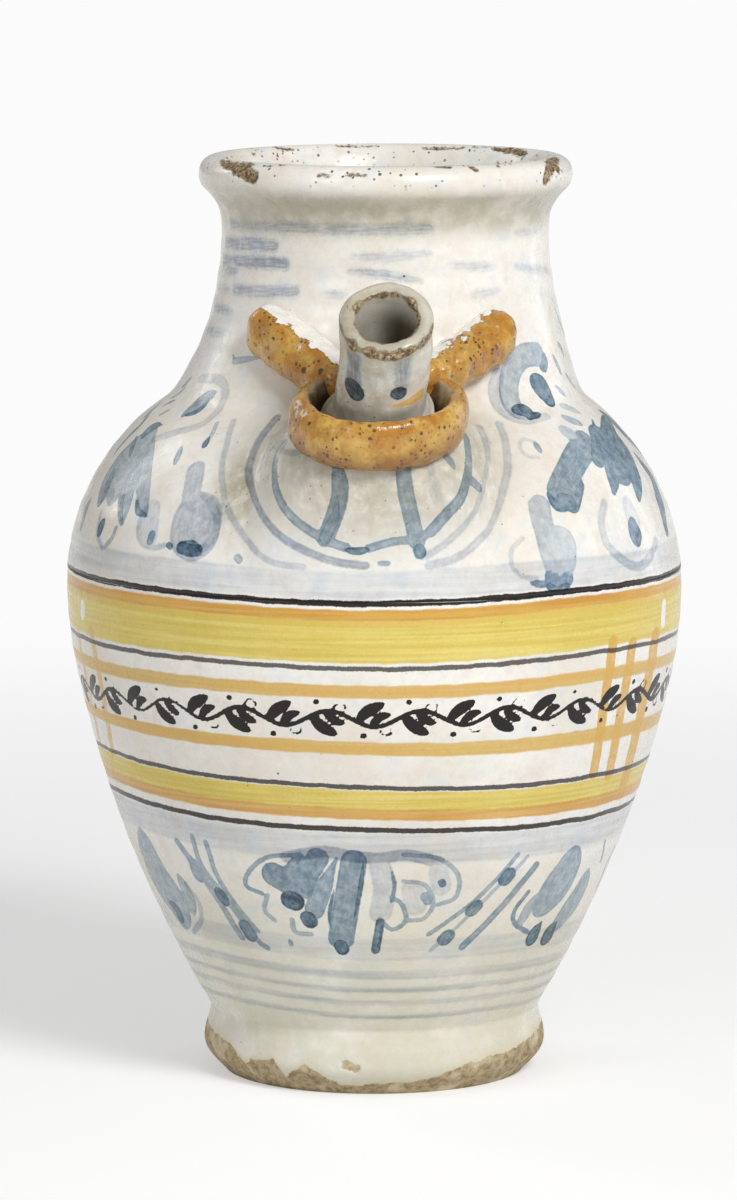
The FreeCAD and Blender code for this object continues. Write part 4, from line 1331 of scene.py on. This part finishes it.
SHOULDER_RIGHT_STROKES = (
    ("pale", 0.3, 3.6, [(580, 170), (560, 240), (580, 320), (630, 370)]),
    ("slate", 0.36, 6.6, [(770, 70), (700, 80), (650, 140), (632, 220), (640, 300), (668, 345)]),
    ("slate", 0.6, 3.0, [(750, 62), (800, 90), (798, 125)], "drop"),
    ("dab", 0.86, 3.0, [(650, 345), (720, 352), (730, 385)], "leaf"),
    ("dab", 0.82, 2.4, [(690, 360), (745, 372), (785, 360)], "leaf"),
    ("pale", 0.25, 2.2, [(640, 385), (720, 400), (820, 372)]),
    ("dab", 0.7, 5.0, [(745, 190), (790, 232), (836, 298)], "leaf"),
    ("dab", 0.9, 3.6, [(772, 215), (805, 250), (826, 288)], "drop"),
    ("slate", 0.32, 1.5, [(855, 220), (880, 245), (912, 275)], "leaf"),
    ("slate", 0.26, 2.4, [(880, 318), (930, 335), (985, 358)], "leaf"),
    ("slate", 0.36, 2.4, [(890, 372), (935, 392), (990, 412)], "leaf"),
    ("slate", 0.28, 3.4, [(885, 435), (930, 460), (975, 490)], "leaf"),
    ("slate", 0.4, 1.1, [(845, 70), (868, 120), (890, 172)], "leaf"),
    ("slate", 0.4, 1.1, [(868, 10), (890, 45), (902, 85)], "leaf"),
    ("slate", 0.3, 1.3, [(905, 160), (935, 205), (960, 240)], "leaf"),
    ("pale", 0.2, 1.1, [(780, 575), (720, 568), (684, 525), (700, 488), (760, 500)]),
    ("slate", 0.42, 1.7, [(758, 500), (772, 525), (790, 550)], "leaf"),
    ("slate", 0.56, 8.6, [(1010, 500), (955, 590), (900, 700), (880, 745)]),
    ("dab", 0.66, 5.0, [(900, 790), (930, 800)]),
    ("dab", 0.7, 2.0, [(820, 745), (860, 810), (905, 840)], "leaf"),
    ("slate", 0.6, 5.6, [(960, 700), (940, 800)]),
    ("dab", 0.72, 4.6, [(1040, 390), (1060, 480), (1065, 590)], "drop"),
    ("dab", 0.74, 8.0, [(1108, 375), (1130, 500), (1135, 600), (1145, 745)], "leaf"),
    ("dab", 0.72, 7.6, [(1100, 500), (1140, 560), (1160, 620)]),
    ("dab", 0.7, 5.4, [(1165, 470), (1225, 600), (1268, 780)], "leaf"),
    ("dab", 0.66, 4.4, [(1080, 350), (1200, 450), (1290, 570)], "leaf"),
    ("slate", 0.62, 3.4, [(1250, 560), (1340, 690), (1380, 820), (1405, 950)], "leaf"),
    ("slate", 0.62, 4.0, [(1230, 470), (1360, 640), (1430, 830), (1455, 1010)], "leaf"),
    ("slate", 0.6, 1.6, [(1390, 880), (1402, 920), (1408, 960)], "leaf"),
    ("pale", 0.24, 2.6, [
        (1100, 800), (1085, 900), (1120, 1010), (1200, 1085), (1270, 1110), (1325, 1060), (1352, 985),
    ]),
    ("pale", 0.2, 3.8, [(1205, 780), (1235, 860), (1260, 950)], "leaf"),
    ("slate", 0.55, 3.0, [(1235, 880), (1245, 940), (1262, 1000)], "leaf"),
    ("dab", 0.8, 1.8, [(1262, 905), (1272, 950), (1264, 990)], "drop"),
    ("slate", 0.3, 5.8, [(785, 815), (800, 900), (830, 1000), (860, 1080)]),
    ("slate", 0.32, 1.3, [(735, 800), (755, 900), (790, 1030), (815, 1110)]),
    ("slate", 0.24, 10.0, [(880, 1010), (880, 1070)]),
    ("pale", 0.18, 1.3, [(700, 970), (645, 1030), (650, 1110), (700, 1160), (770, 1170)]),
    ("slate", 0.56, 6.0, [(850, 1165), (880, 1180), (905, 1165)]),
    ("dab", 0.68, 2.4, [(830, 1205), (870, 1225), (915, 1205)]),
    ("slate", 0.55, 2.2, [(735, 1190), (780, 1195), (830, 1200)], "leaf"),
)
NECK = Window(180, 120, 420)
NECK_STROKES = (
    ("haze", 0.3, 3.2, [(195, 388), (420, 402), (700, 408), (930, 404)]),
    ("haze", 0.34, 3.0, [(380, 395), (510, 404)]),
    ("haze", 0.39, 3.8, [(175, 460), (260, 464), (350, 470)]),
    ("haze", 0.48, 3.4, [(165, 520), (280, 530), (390, 536)]),
    ("haze", 0.32, 2.8, [(172, 560), (215, 565)], "leaf"),
    ("haze", 0.25, 2.6, [(640, 508), (760, 512), (935, 496)], "leaf"),
    ("haze", 0.34, 2.5, [(632, 562), (760, 578), (900, 602)], "leaf"),
    ("haze", 0.27, 2.3, [(820, 415), (835, 400), (850, 378)], "leaf"),
    ("haze", 0.32, 3.2, [(205, 632), (310, 640), (430, 640)]),
    ("haze", 0.23, 2.6, [(540, 650), (620, 655)], "leaf"),
    ("haze", 0.3, 2.6, [(140, 620), (190, 632)], "leaf"),
    ("haze", 0.34, 2.4, [(128, 700), (160, 706), (195, 716)], "leaf"),
    ("haze", 0.3, 2.8, [(100, 782), (140, 792), (185, 797)], "leaf"),
    ("slate", 0.32, 2.2, [(205, 900), (260, 892), (330, 882)], "tail"),
    ("slate", 0.45, 1.3, [(196, 870), (205, 895), (240, 905)], "leaf"),
    ("haze", 0.2, 2.3, [(1090, 652), (1150, 645), (1195, 632)], "leaf"),
    ("haze", 0.23, 2.2, [(1240, 545), (1320, 556), (1380, 565)], "leaf"),
    ("haze", 0.23, 2.2, [(1250, 420), (1330, 418), (1380, 422)], "leaf"),
    ("haze", 0.2, 2.6, [(1000, 540), (1100, 548), (1180, 545)], "leaf"),
    ("slate", 0.35, 1.0, [(1398, 700), (1420, 760), (1440, 830)], "leaf"),
)
SPOUT = Window(220, 260, 320)
SPOUT_STROKES = (
    ("haze", 0.55, 4.4, [(655, 478), (650, 610)]),
    ("haze", 0.36, 4.2, [(905, 480), (892, 620)]),
    ("dab", 0.9, 4.0, [(650, 628), (658, 640)]),
    ("dab", 0.9, 4.4, [(872, 650), (880, 654)]),
    ("ochre", 0.9, 2.6, [(985, 655), (930, 692), (850, 716)], "tail"),
    ("ochre", 0.85, 2.2, [(1035, 610), (1015, 650), (950, 690)], "leaf"),
)
FRIEZE = Window(80, 820, 540)
FRIEZE_STROKES = (
    ("slate", 0.42, 8.6, [(180, 40), (225, 160), (275, 235), (300, 300)], "leaf"),
    ("slate", 0.5, 5.0, [(190, 60), (215, 130), (240, 200)], "leaf"),
    ("dab", 0.82, 2.4, [(262, 240), (285, 265), (294, 296)], "leaf"),
    ("slate", 0.4, 3.0, [(285, 160), (315, 220), (330, 275)], "leaf"),
    ("pale", 0.3, 1.5, [(308, 185), (345, 240), (352, 290), (330, 325)]),
    ("slate", 0.42, 1.4, [(282, 62), (330, 130), (400, 230), (470, 340)]),
    ("slate", 0.4, 1.3, [(325, 48), (352, 130), (440, 250), (512, 345), (545, 372)]),
    ("slate", 0.4, 1.3, [(365, 65), (400, 165), (455, 250), (515, 322)]),
    ("slate", 0.46, 3.2, [(322, 105), (345, 160)], "drop"),
    ("dab", 0.78, 2.8, [(395, 200), (412, 222), (428, 246)], "leaf"),
    ("dab", 0.66, 3.4, [(480, 308), (496, 334)]),
    ("slate", 0.46, 1.5, [(640, 100), (545, 108), (492, 148), (482, 190), (530, 214)]),
    ("slate", 0.62, 6.4, [(565, 160), (600, 180)]),
    ("slate", 0.6, 6.4, [(640, 130), (600, 175)]),
    ("dab", 0.92, 5.2, [(612, 232), (622, 236)]),
    ("slate", 0.36, 1.3, [(545, 218), (536, 262), (566, 292)]),
    ("slate", 0.6, 6.6, [(690, 110), (660, 160), (655, 200)]),
    ("dab", 0.86, 4.2, [(662, 284), (668, 294)]),
    ("slate", 0.34, 1.3, [(616, 290), (626, 325), (672, 332)]),
    ("slate", 0.5, 5.8, [(745, 110), (705, 200), (680, 262)], "drop"),
    ("slate", 0.56, 7.6, [(795, 120), (775, 240), (758, 345)]),
    ("dab", 0.78, 1.6, [(822, 118), (815, 190), (796, 290)], "leaf"),
    ("dab", 0.72, 1.2, [(738, 200), (725, 270), (728, 320)], "leaf"),
    ("dab", 0.84, 4.0, [(758, 364), (762, 374)]),
    ("pale", 0.24, 6.6, [(872, 140), (885, 200), (872, 270)]),
    ("dab", 0.76, 2.6, [(872, 296), (858, 378)]),
    ("slate", 0.5, 1.3, [(902, 135), (913, 190), (902, 245)], "leaf"),
    ("slate", 0.42, 1.4, [(868, 288), (908, 318), (946, 290), (934, 245), (905, 225)]),
    ("pale", 0.2, 6.4, [(965, 200), (975, 250)]),
    ("slate", 0.34, 1.4, [(938, 178), (1000, 188), (1026, 238), (1000, 285), (950, 292)]),
    ("slate", 0.42, 3.0, [(1002, 222), (1010, 235)]),
    ("pale", 0.18, 5.8, [(1040, 150), (1050, 195)]),
    ("slate", 0.36, 1.5, [(940, 100), (1040, 112), (1098, 160), (1092, 222), (1040, 246)]),
    ("slate", 0.62, 2.3, [(1050, 180), (1054, 186)]),
    ("pale", 0.34, 3.2, [(600, 108), (700, 92), (780, 104), (860, 112), (950, 102), (1040, 122)]),
    ("slate", 0.42, 1.2, [(1272, 100), (1160, 222), (1012, 332)]),
    ("slate", 0.3, 1.1, [(1300, 105), (1185, 222), (1018, 378)]),
    ("slate", 0.5, 1.7, [(1325, 130), (1215, 262), (1110, 368)]),
    ("dab", 0.7, 3.6, [(1236, 170), (1244, 160)]),
    ("dab", 0.66, 3.4, [(1138, 262), (1150, 250)]),
    ("dab", 0.66, 3.6, [(1058, 346), (1068, 336)]),
    ("slate", 0.46, 7.4, [(1436, 90), (1400, 170), (1330, 265)], "leaf"),
    ("slate", 0.56, 1.4, [(1302, 208), (1262, 262), (1262, 300), (1300, 326)]),
    ("slate", 0.4, 2.6, [(1330, 215), (1300, 260), (1272, 310)], "leaf"),
    ("slate", 0.46, 5.0, [(1474, 150), (1440, 225), (1370, 320)], "leaf"),
    ("dab", 0.84, 2.9, [(1340, 296), (1322, 322), (1312, 344)], "drop"),
    ("dab", 0.84, 2.9, [(1384, 296), (1366, 320), (1356, 340)], "drop"),
    ("slate", 0.55, 1.0, [(1552, 80), (1520, 150), (1500, 200)]),
    ("slate", 0.5, 0.9, [(1524, 62), (1512, 120)]),
    ("slate", 0.42, 1.3, [(610, 352), (613, 362)]),
)
LABEL_RIGHT = Window(360, 560, 340)
LABEL_RIGHT_STROKES = (
    ("ochre", 0.95, 2.6, [(1168, 378), (1130, 640), (1078, 980)]),
    ("ochre", 0.9, 2.5, [(1256, 390), (1205, 680), (1150, 985)]),
    ("ochre", 0.95, 3.0, [(1362, 355), (1300, 680), (1215, 1030)]),
)
LABEL_LEFT = Window(60, 560, 340)
LABEL_LEFT_STROKES = (
    ("ochre", 0.7, 1.5, [(84, 330), (125, 560), (188, 850)]),
    ("ochre", 0.7, 1.6, [(142, 318), (190, 580), (244, 880)]),
    ("ochre", 0.5, 1.2, [(240, 870), (242, 960)]),
)
RIM_CHIPS = (
    ("chip", 1.0, 2.4, [(160, 150), (180, 168), (205, 168)]),
    ("chip", 1.0, 3.8, [(208, 176), (240, 196), (272, 212)]),
    ("chip", 1.0, 1.4, [(160, 158), (210, 160), (262, 170)]),
    ("chip", 1.0, 0.3, [(108, 106), (176, 140), (262, 160), (340, 172)]),
    ("chip", 1.0, 3.2, [(1396, 140), (1384, 180), (1368, 222)]),
    ("chip", 1.0, 2.4, [(1380, 160), (1408, 176)]),
    ("chip", 1.0, 1.5, [(1452, 138), (1448, 190)]),
    ("chip", 1.0, 0.5, [(612, 207), (650, 204), (692, 208)]),
    ("chip", 1.0, 0.6, [(520, 205), (560, 208)]),
    ("chip", 1.0, 0.9, [(954, 172), (1000, 174)]),
    ("chip", 1.0, 1.0, [(1086, 174), (1102, 184)]),
    ("chip", 1.0, 0.6, [(1182, 160), (1188, 172)]),
    ("chip", 1.0, 0.6, [(202, 94), (230, 92)]),
    ("chip", 1.0, 0.8, [(362, 102), (414, 108)]),
    ("chip", 1.0, 0.25, [(590, 96), (660, 98), (736, 96)]),
    ("chip", 1.0, 0.5, [(910, 104), (980, 106), (1060, 102)]),
    ("chip", 1.0, 0.2, [(1130, 96), (1240, 98), (1366, 102)]),
)
WHOLE = Window(0, 0, ENLARGED_WIDTH)
# Painted highlights: two white ovals on the yellow band near the belly's left and right edges
HIGHLIGHT_SPOTS = (
    ("highlight_spot", 1.0, 1.9, [(82.5, 606), (82.5, 614)]),
    ("highlight_spot", 1.0, 1.8, [(664, 605), (663, 622)]),
)
FOOT_CHIPS = (
    ("chip", 1.0, 2.2, [(500, 706), (530, 716)]),
    ("chip", 1.0, 2.6, [(770, 712), (800, 722)]),
    ("chip", 1.0, 1.0, [(440, 690), (456, 702)]),
)

# Where a table's strokes are painted, in degrees about the jar's axis
FRONT = (0.0,)
FRONT_AND_BACK = (0.0, 180.0)
THIRDS = (0.0, 118.0, 236.0)

CHIP_DEPTH = 0.5

# The valley beside the mound, in MOUND's window, where shade is painted into the glaze
VALLEY = (195, 230)

# The edge of the glaze above the bare foot: left to right in FRIEZE's window, then by degrees and height
GLAZE_EDGE = (
    (372, 580), (440, 650), (480, 706), (560, 692), (600, 744), (650, 710), (700, 742), (762, 772),
    (900, 764), (1010, 754), (1100, 720), (1180, 690), (1250, 668), (1335, 590),
)
GLAZE_EDGE_BEHIND = ((30.0, 14.0), (60.0, 9.0), (90.0, 12.0), (120.0, 7.5), (150.0, 15.0))

# A vine runs round the white band: its height, the jar's radius there, its waves and their swing
VINE_HEIGHT = 116.4
VINE_RADIUS = 86.0
VINE_WAVES = 21
VINE_SWING = 2.3


def jar_point(angle, height, outline):
    """Point on the jar's outside at an angle in radians and a height."""
    radius = np.interp(height, outline[:, 1], outline[:, 0])
    return np.array((radius * math.cos(angle), radius * math.sin(angle), height))


def paint_vine(surface):
    """Running scroll in manganese between the two orange stripes, with leaves, tendrils and dots."""
    outline = side_outline(0.0, FINE_STEP)
    random = np.random.default_rng(71)
    pitch = 2 * math.pi / VINE_WAVES
    across = 1.0 / VINE_RADIUS

    def lay(offsets, middle, width, form):
        path = [jar_point(middle + x * across, VINE_HEIGHT + z, outline) for x, z in offsets]
        path, length = curve_through(path)
        lay_stroke(surface, "dark", path, length, width, form, 1.0)

    turn = np.linspace(0, 2 * math.pi, VINE_WAVES * 12 + 1)
    stem = [jar_point(a, VINE_HEIGHT + VINE_SWING * math.sin(a * VINE_WAVES), outline) for a in turn]
    path, length = curve_through(stem)
    lay_stroke(surface, "dark", path, length, 1.5, "even", 1.0)
    for half in range(2 * VINE_WAVES):
        side = 1 if half % 2 == 0 else -1
        middle = (half + 0.5) * pitch / 2
        jitter = random.uniform(-0.4, 0.4, 6)
        leaf = (-5.0, side), (jitter[0] - 2.2, -2.2 * side), (jitter[1] + 2.4, -4.6 * side)
        bud = (-1.4, 2.2 * side), (jitter[2] + 1.6, -0.6 * side), (4.6, jitter[3] - 1.6 * side)
        tendril = (0.5, 2.3 * side), (2.6, 4.6 * side + 0.5 * jitter[4]), (4.8, 4.0 * side), (4.4, 2.8 * side)
        dot = (jitter[5] - 3.4, 4.9 * side), (jitter[5] - 3.1, 4.9 * side)
        lay(leaf, middle, 3.6, "leaf")
        lay(bud, middle, 2.7, "leaf")
        lay(tendril, middle, 0.9, "even")
        lay(dot, middle, 1.7, "even")


def paint_jar(surface):
    for window, strokes, turns in (
        (SHOULDER_LEFT, SHOULDER_LEFT_STROKES, FRONT_AND_BACK),
        (MOUND, MOUND_STROKES, FRONT),
        (SHOULDER_RIGHT, SHOULDER_RIGHT_STROKES, FRONT_AND_BACK),
        (NECK, NECK_STROKES, THIRDS),
        (FRIEZE, FRIEZE_STROKES, FRONT_AND_BACK),
        (LABEL_RIGHT, LABEL_RIGHT_STROKES, FRONT),
        (LABEL_LEFT, LABEL_LEFT_STROKES, FRONT),
        (NECK, RIM_CHIPS, FRONT_AND_BACK),
        (FRIEZE, FOOT_CHIPS, THIRDS),
        (WHOLE, HIGHLIGHT_SPOTS, FRONT),
    ):
        for stroke in strokes:
            brush(surface, window, turns, *stroke)
    paint_vine(surface)


def note_levels(surface):
    """Each point's height for the painted bands, which slope and waver a little as a hand draws them."""
    for piece, points in zip(surface.pieces, surface.points):
        angle = np.arctan2(points[:, 1], points[:, 0])
        across = points[:, 0] * smooth(-points[:, 1], -30.0, 30.0)
        slope = 0.03 * smooth(points[:, 2], 125.0, 95.0)
        waver = 0.35 * np.sin(3 * angle + 0.4) + 0.25 * np.sin(5 * angle + 2.0 + points[:, 2] * 0.05)
        note(piece, "level", points[:, 2] + slope * across + waver)


def note_grime_and_shade(surface):
    """How soiled and shaded the glaze is: grime with painted shade below and around the collar, and painted
    shade in the valley beside the mound.
    """
    centre = lean(ring_frame()[0][None])
    valley, _ = surface.hit(MOUND.pixel(VALLEY))
    for piece, points in zip(surface.pieces, surface.points):
        around = 0.75 * smooth(np.linalg.norm((points - centre) * (0.8, 1.0, 1.0), axis=1), 46.0, 24.0)
        # Painted shade in the valley beside the mound
        beside = 0.95 * smooth(np.linalg.norm((points - valley) * (1.4, 1.0, 0.6), axis=1), 18.0, 2.0)
        note(piece, "grime_and_shade", np.maximum(around, beside))


def chip_surface(surface):
    """Presses the chips into the clay; the strokes' distances stay as they were."""
    for piece, points, facing, layers in zip(surface.pieces, surface.points, surface.normals, surface.layers):
        if "chip" in layers:
            depth = CHIP_DEPTH * smooth(layers["chip"]["distance"], 0.4, -0.5)
            put_points(piece, points - depth[:, None] * facing)


def note_glaze_edge(surface):
    """Each point's height above the edge of the glaze on the foot."""
    hits = [surface.hit(FRIEZE.pixel(point)) for point in GLAZE_EDGE]
    places = np.array([hit[0] for hit in hits if hit is not None])
    angle = np.degrees(np.arctan2(places[:, 1], places[:, 0]))
    order = np.argsort(angle)
    behind = np.array(GLAZE_EDGE_BEHIND)
    known_angle = np.concatenate([angle[order], behind[:, 0]])
    known_height = np.concatenate([places[order, 2], behind[:, 1]])
    for piece, points in zip(surface.pieces, surface.points):
        here = np.degrees(np.arctan2(points[:, 1], points[:, 0]))
        edge = np.interp(here, known_angle, known_height, period=360.0)
        inside = np.hypot(points[:, 0], points[:, 1]) < WAIST[0] - WALL + 1.0
        above = points[:, 2] - edge
        above[inside & (points[:, 2] > FLOOR_HEIGHT - 1.0)] = FAR
        note(piece, "glaze_edge", above)


# Assembly

jar_lower = make_jar_lower()
jar_upper = cut_bore(make_jar_upper())
spout = make_spout()
collar = make_collar()
right_brace = make_brace("brace_right", 1, 51)
left_brace = make_brace("brace_left", -1, 61)
handle = make_handle()

jar_surface = Surface([jar_lower, jar_upper])
paint_jar(jar_surface)
note_layers(jar_surface)
note_levels(jar_surface)
note_glaze_edge(jar_surface)
note_grime_and_shade(jar_surface)
chip_surface(jar_surface)
spout_surface = Surface([spout])
for stroke in SPOUT_STROKES:
    brush(spout_surface, SPOUT, FRONT, *stroke)
note_layers(spout_surface)
handle_surface = Surface([handle])
note_layers(handle_surface)
note(handle, "grime_and_shade", np.full(len(handle.data.vertices), 0.2))

for piece, material in (
    (jar_lower, painted_glaze("tin_glaze_lower", True, True)),
    (jar_upper, painted_glaze("tin_glaze_upper", True, False)),
    (spout, painted_glaze("tin_glaze_spout", False, False, worn_lip=True)),
    (handle, painted_glaze("tin_glaze_handle", False, False)),
    (collar, ochre_glaze("ochre_collar", False)),
    (right_brace, ochre_glaze("ochre_right", True)),
    (left_brace, ochre_glaze("ochre_left", True)),
):
    piece.data.materials.clear()
    piece.data.materials.append(material)


# The backdrop's brightness, and that of the soft light from all sides
BACKDROP = 0.965
SOFT_LIGHT = 0.33
# The floor's colour and its brightness under the lamps
FLOOR_PAPER = (0.88, 0.88, 0.88, 1.0)
FLOOR_LIT = 0.8
# How much of the floor's white is its own near the jar, and the millimetres over which it becomes all of it
FLOOR_GLOW = 0.26
GLOW_START = 400.0
GLOW_END = 1000.0
FLOOR_RINGS = (1e-3, 0.3, 0.8, 2.0, 5.0, 12.0, 40.0)


def make_floor():
    """Wide pale floor that becomes as white as the backdrop away from the jar."""
    columns = 96
    outline = np.array([(radius / MM, 0.0) for radius in FLOOR_RINGS])
    points = turned(outline, columns).reshape(-1, 3)
    floor = make_mesh("floor", points, [grid_faces(len(outline), columns, False)])
    finish = Finish("floor_white")
    away = finish.add("ShaderNodeVectorMath", ((0, finish.place),), operation="LENGTH").outputs["Value"]
    share = finish.step(away, GLOW_START, GLOW_END, FLOOR_GLOW, 1.0)
    paper = finish.add("ShaderNodeBsdfDiffuse", (("Color", FLOOR_PAPER),)).outputs[0]
    lit = finish.times(finish.minus(1.0, share), FLOOR_LIT)
    strength = finish.math("DIVIDE", finish.minus(BACKDROP, lit), share)
    glow = finish.add("ShaderNodeEmission", (("Color", WHITE), ("Strength", strength))).outputs[0]
    rays = finish.add("ShaderNodeLightPath").outputs
    seen = finish.larger(rays["Is Camera Ray"], rays["Is Glossy Ray"])
    seen = finish.larger(seen, rays["Is Transmission Ray"])
    share = finish.times(seen, share)
    mixed = finish.add("ShaderNodeMixShader", ((0, share), (1, paper), (2, glow))).outputs[0]
    output = finish.add("ShaderNodeOutputMaterial")
    finish.tree.links.new(mixed, output.inputs["Surface"])
    floor.data.materials.append(finish.material)


make_floor()


def area_light(name, place, aim, size, power):
    data = bpy.data.lights.new(name, "AREA")
    data.shape = "RECTANGLE"
    data.size, data.size_y = size
    data.energy = power
    light = bpy.data.objects.new(name, data)
    light.location = place
    light.rotation_euler = (Vector(aim) - Vector(place)).to_track_quat("-Z", "Y").to_euler()
    SCENE.collection.objects.link(light)


# Lamps, in metres and watts: name, place, width and height, power
MIDDLE = (0, 0, 0.14)
LAMPS = (
    ("key", (0.8, -1.44, 1.46), (0.7, 0.7), 31.0),
    ("fill", (-1.3, -1.5, 1.0), (0.45, 0.45), 4.5),
    ("right_edge", (1.25, 0.9, 0.5), (0.25, 1.1), 2.0),
    ("left_edge", (-1.25, 0.9, 0.95), (0.3, 0.8), 3.5),
)
for lamp, place, size, power in LAMPS:
    area_light(lamp, place, MIDDLE, size, power)


def make_world():
    world = bpy.data.worlds.new("studio")
    world.use_nodes = True
    tree = world.node_tree
    tree.nodes.clear()
    rays = tree.nodes.new("ShaderNodeLightPath")
    soft = tree.nodes.new("ShaderNodeBackground")
    soft.inputs["Strength"].default_value = SOFT_LIGHT
    seen = tree.nodes.new("ShaderNodeBackground")
    seen.inputs["Strength"].default_value = BACKDROP
    mix = tree.nodes.new("ShaderNodeMixShader")
    output = tree.nodes.new("ShaderNodeOutputWorld")
    for node in (soft, seen):
        node.inputs["Color"].default_value = WHITE
    tree.links.new(rays.outputs["Is Camera Ray"], mix.inputs[0])
    tree.links.new(soft.outputs[0], mix.inputs[1])
    tree.links.new(seen.outputs[0], mix.inputs[2])
    tree.links.new(mix.outputs[0], output.inputs["Surface"])
    SCENE.world = world


make_world()
SCENE.view_settings.view_transform = "Standard"
make_camera()

LOWER_NODES = ("lower_wall", "foot_ring", "base_floor")
UPPER_NODES = ("upper_wall", "neck_wall", "rim_roll", "spout_boss", "outer_glaze", "inner_glaze")
for piece, nodes, slot in (
    (jar_lower, LOWER_NODES, "tin_glaze"),
    (jar_upper, UPPER_NODES, "tin_glaze"),
    (spout, ("spout_tube",), "tin_glaze"),
    (collar, ("spout_ring",), "ochre_glaze"),
    (right_brace, ("right_brace",), "ochre_glaze"),
    (left_brace, ("left_brace",), "ochre_glaze"),
    (handle, ("strap_handle",), "tin_glaze"),
):
    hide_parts(*nodes)
    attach(piece, "root")
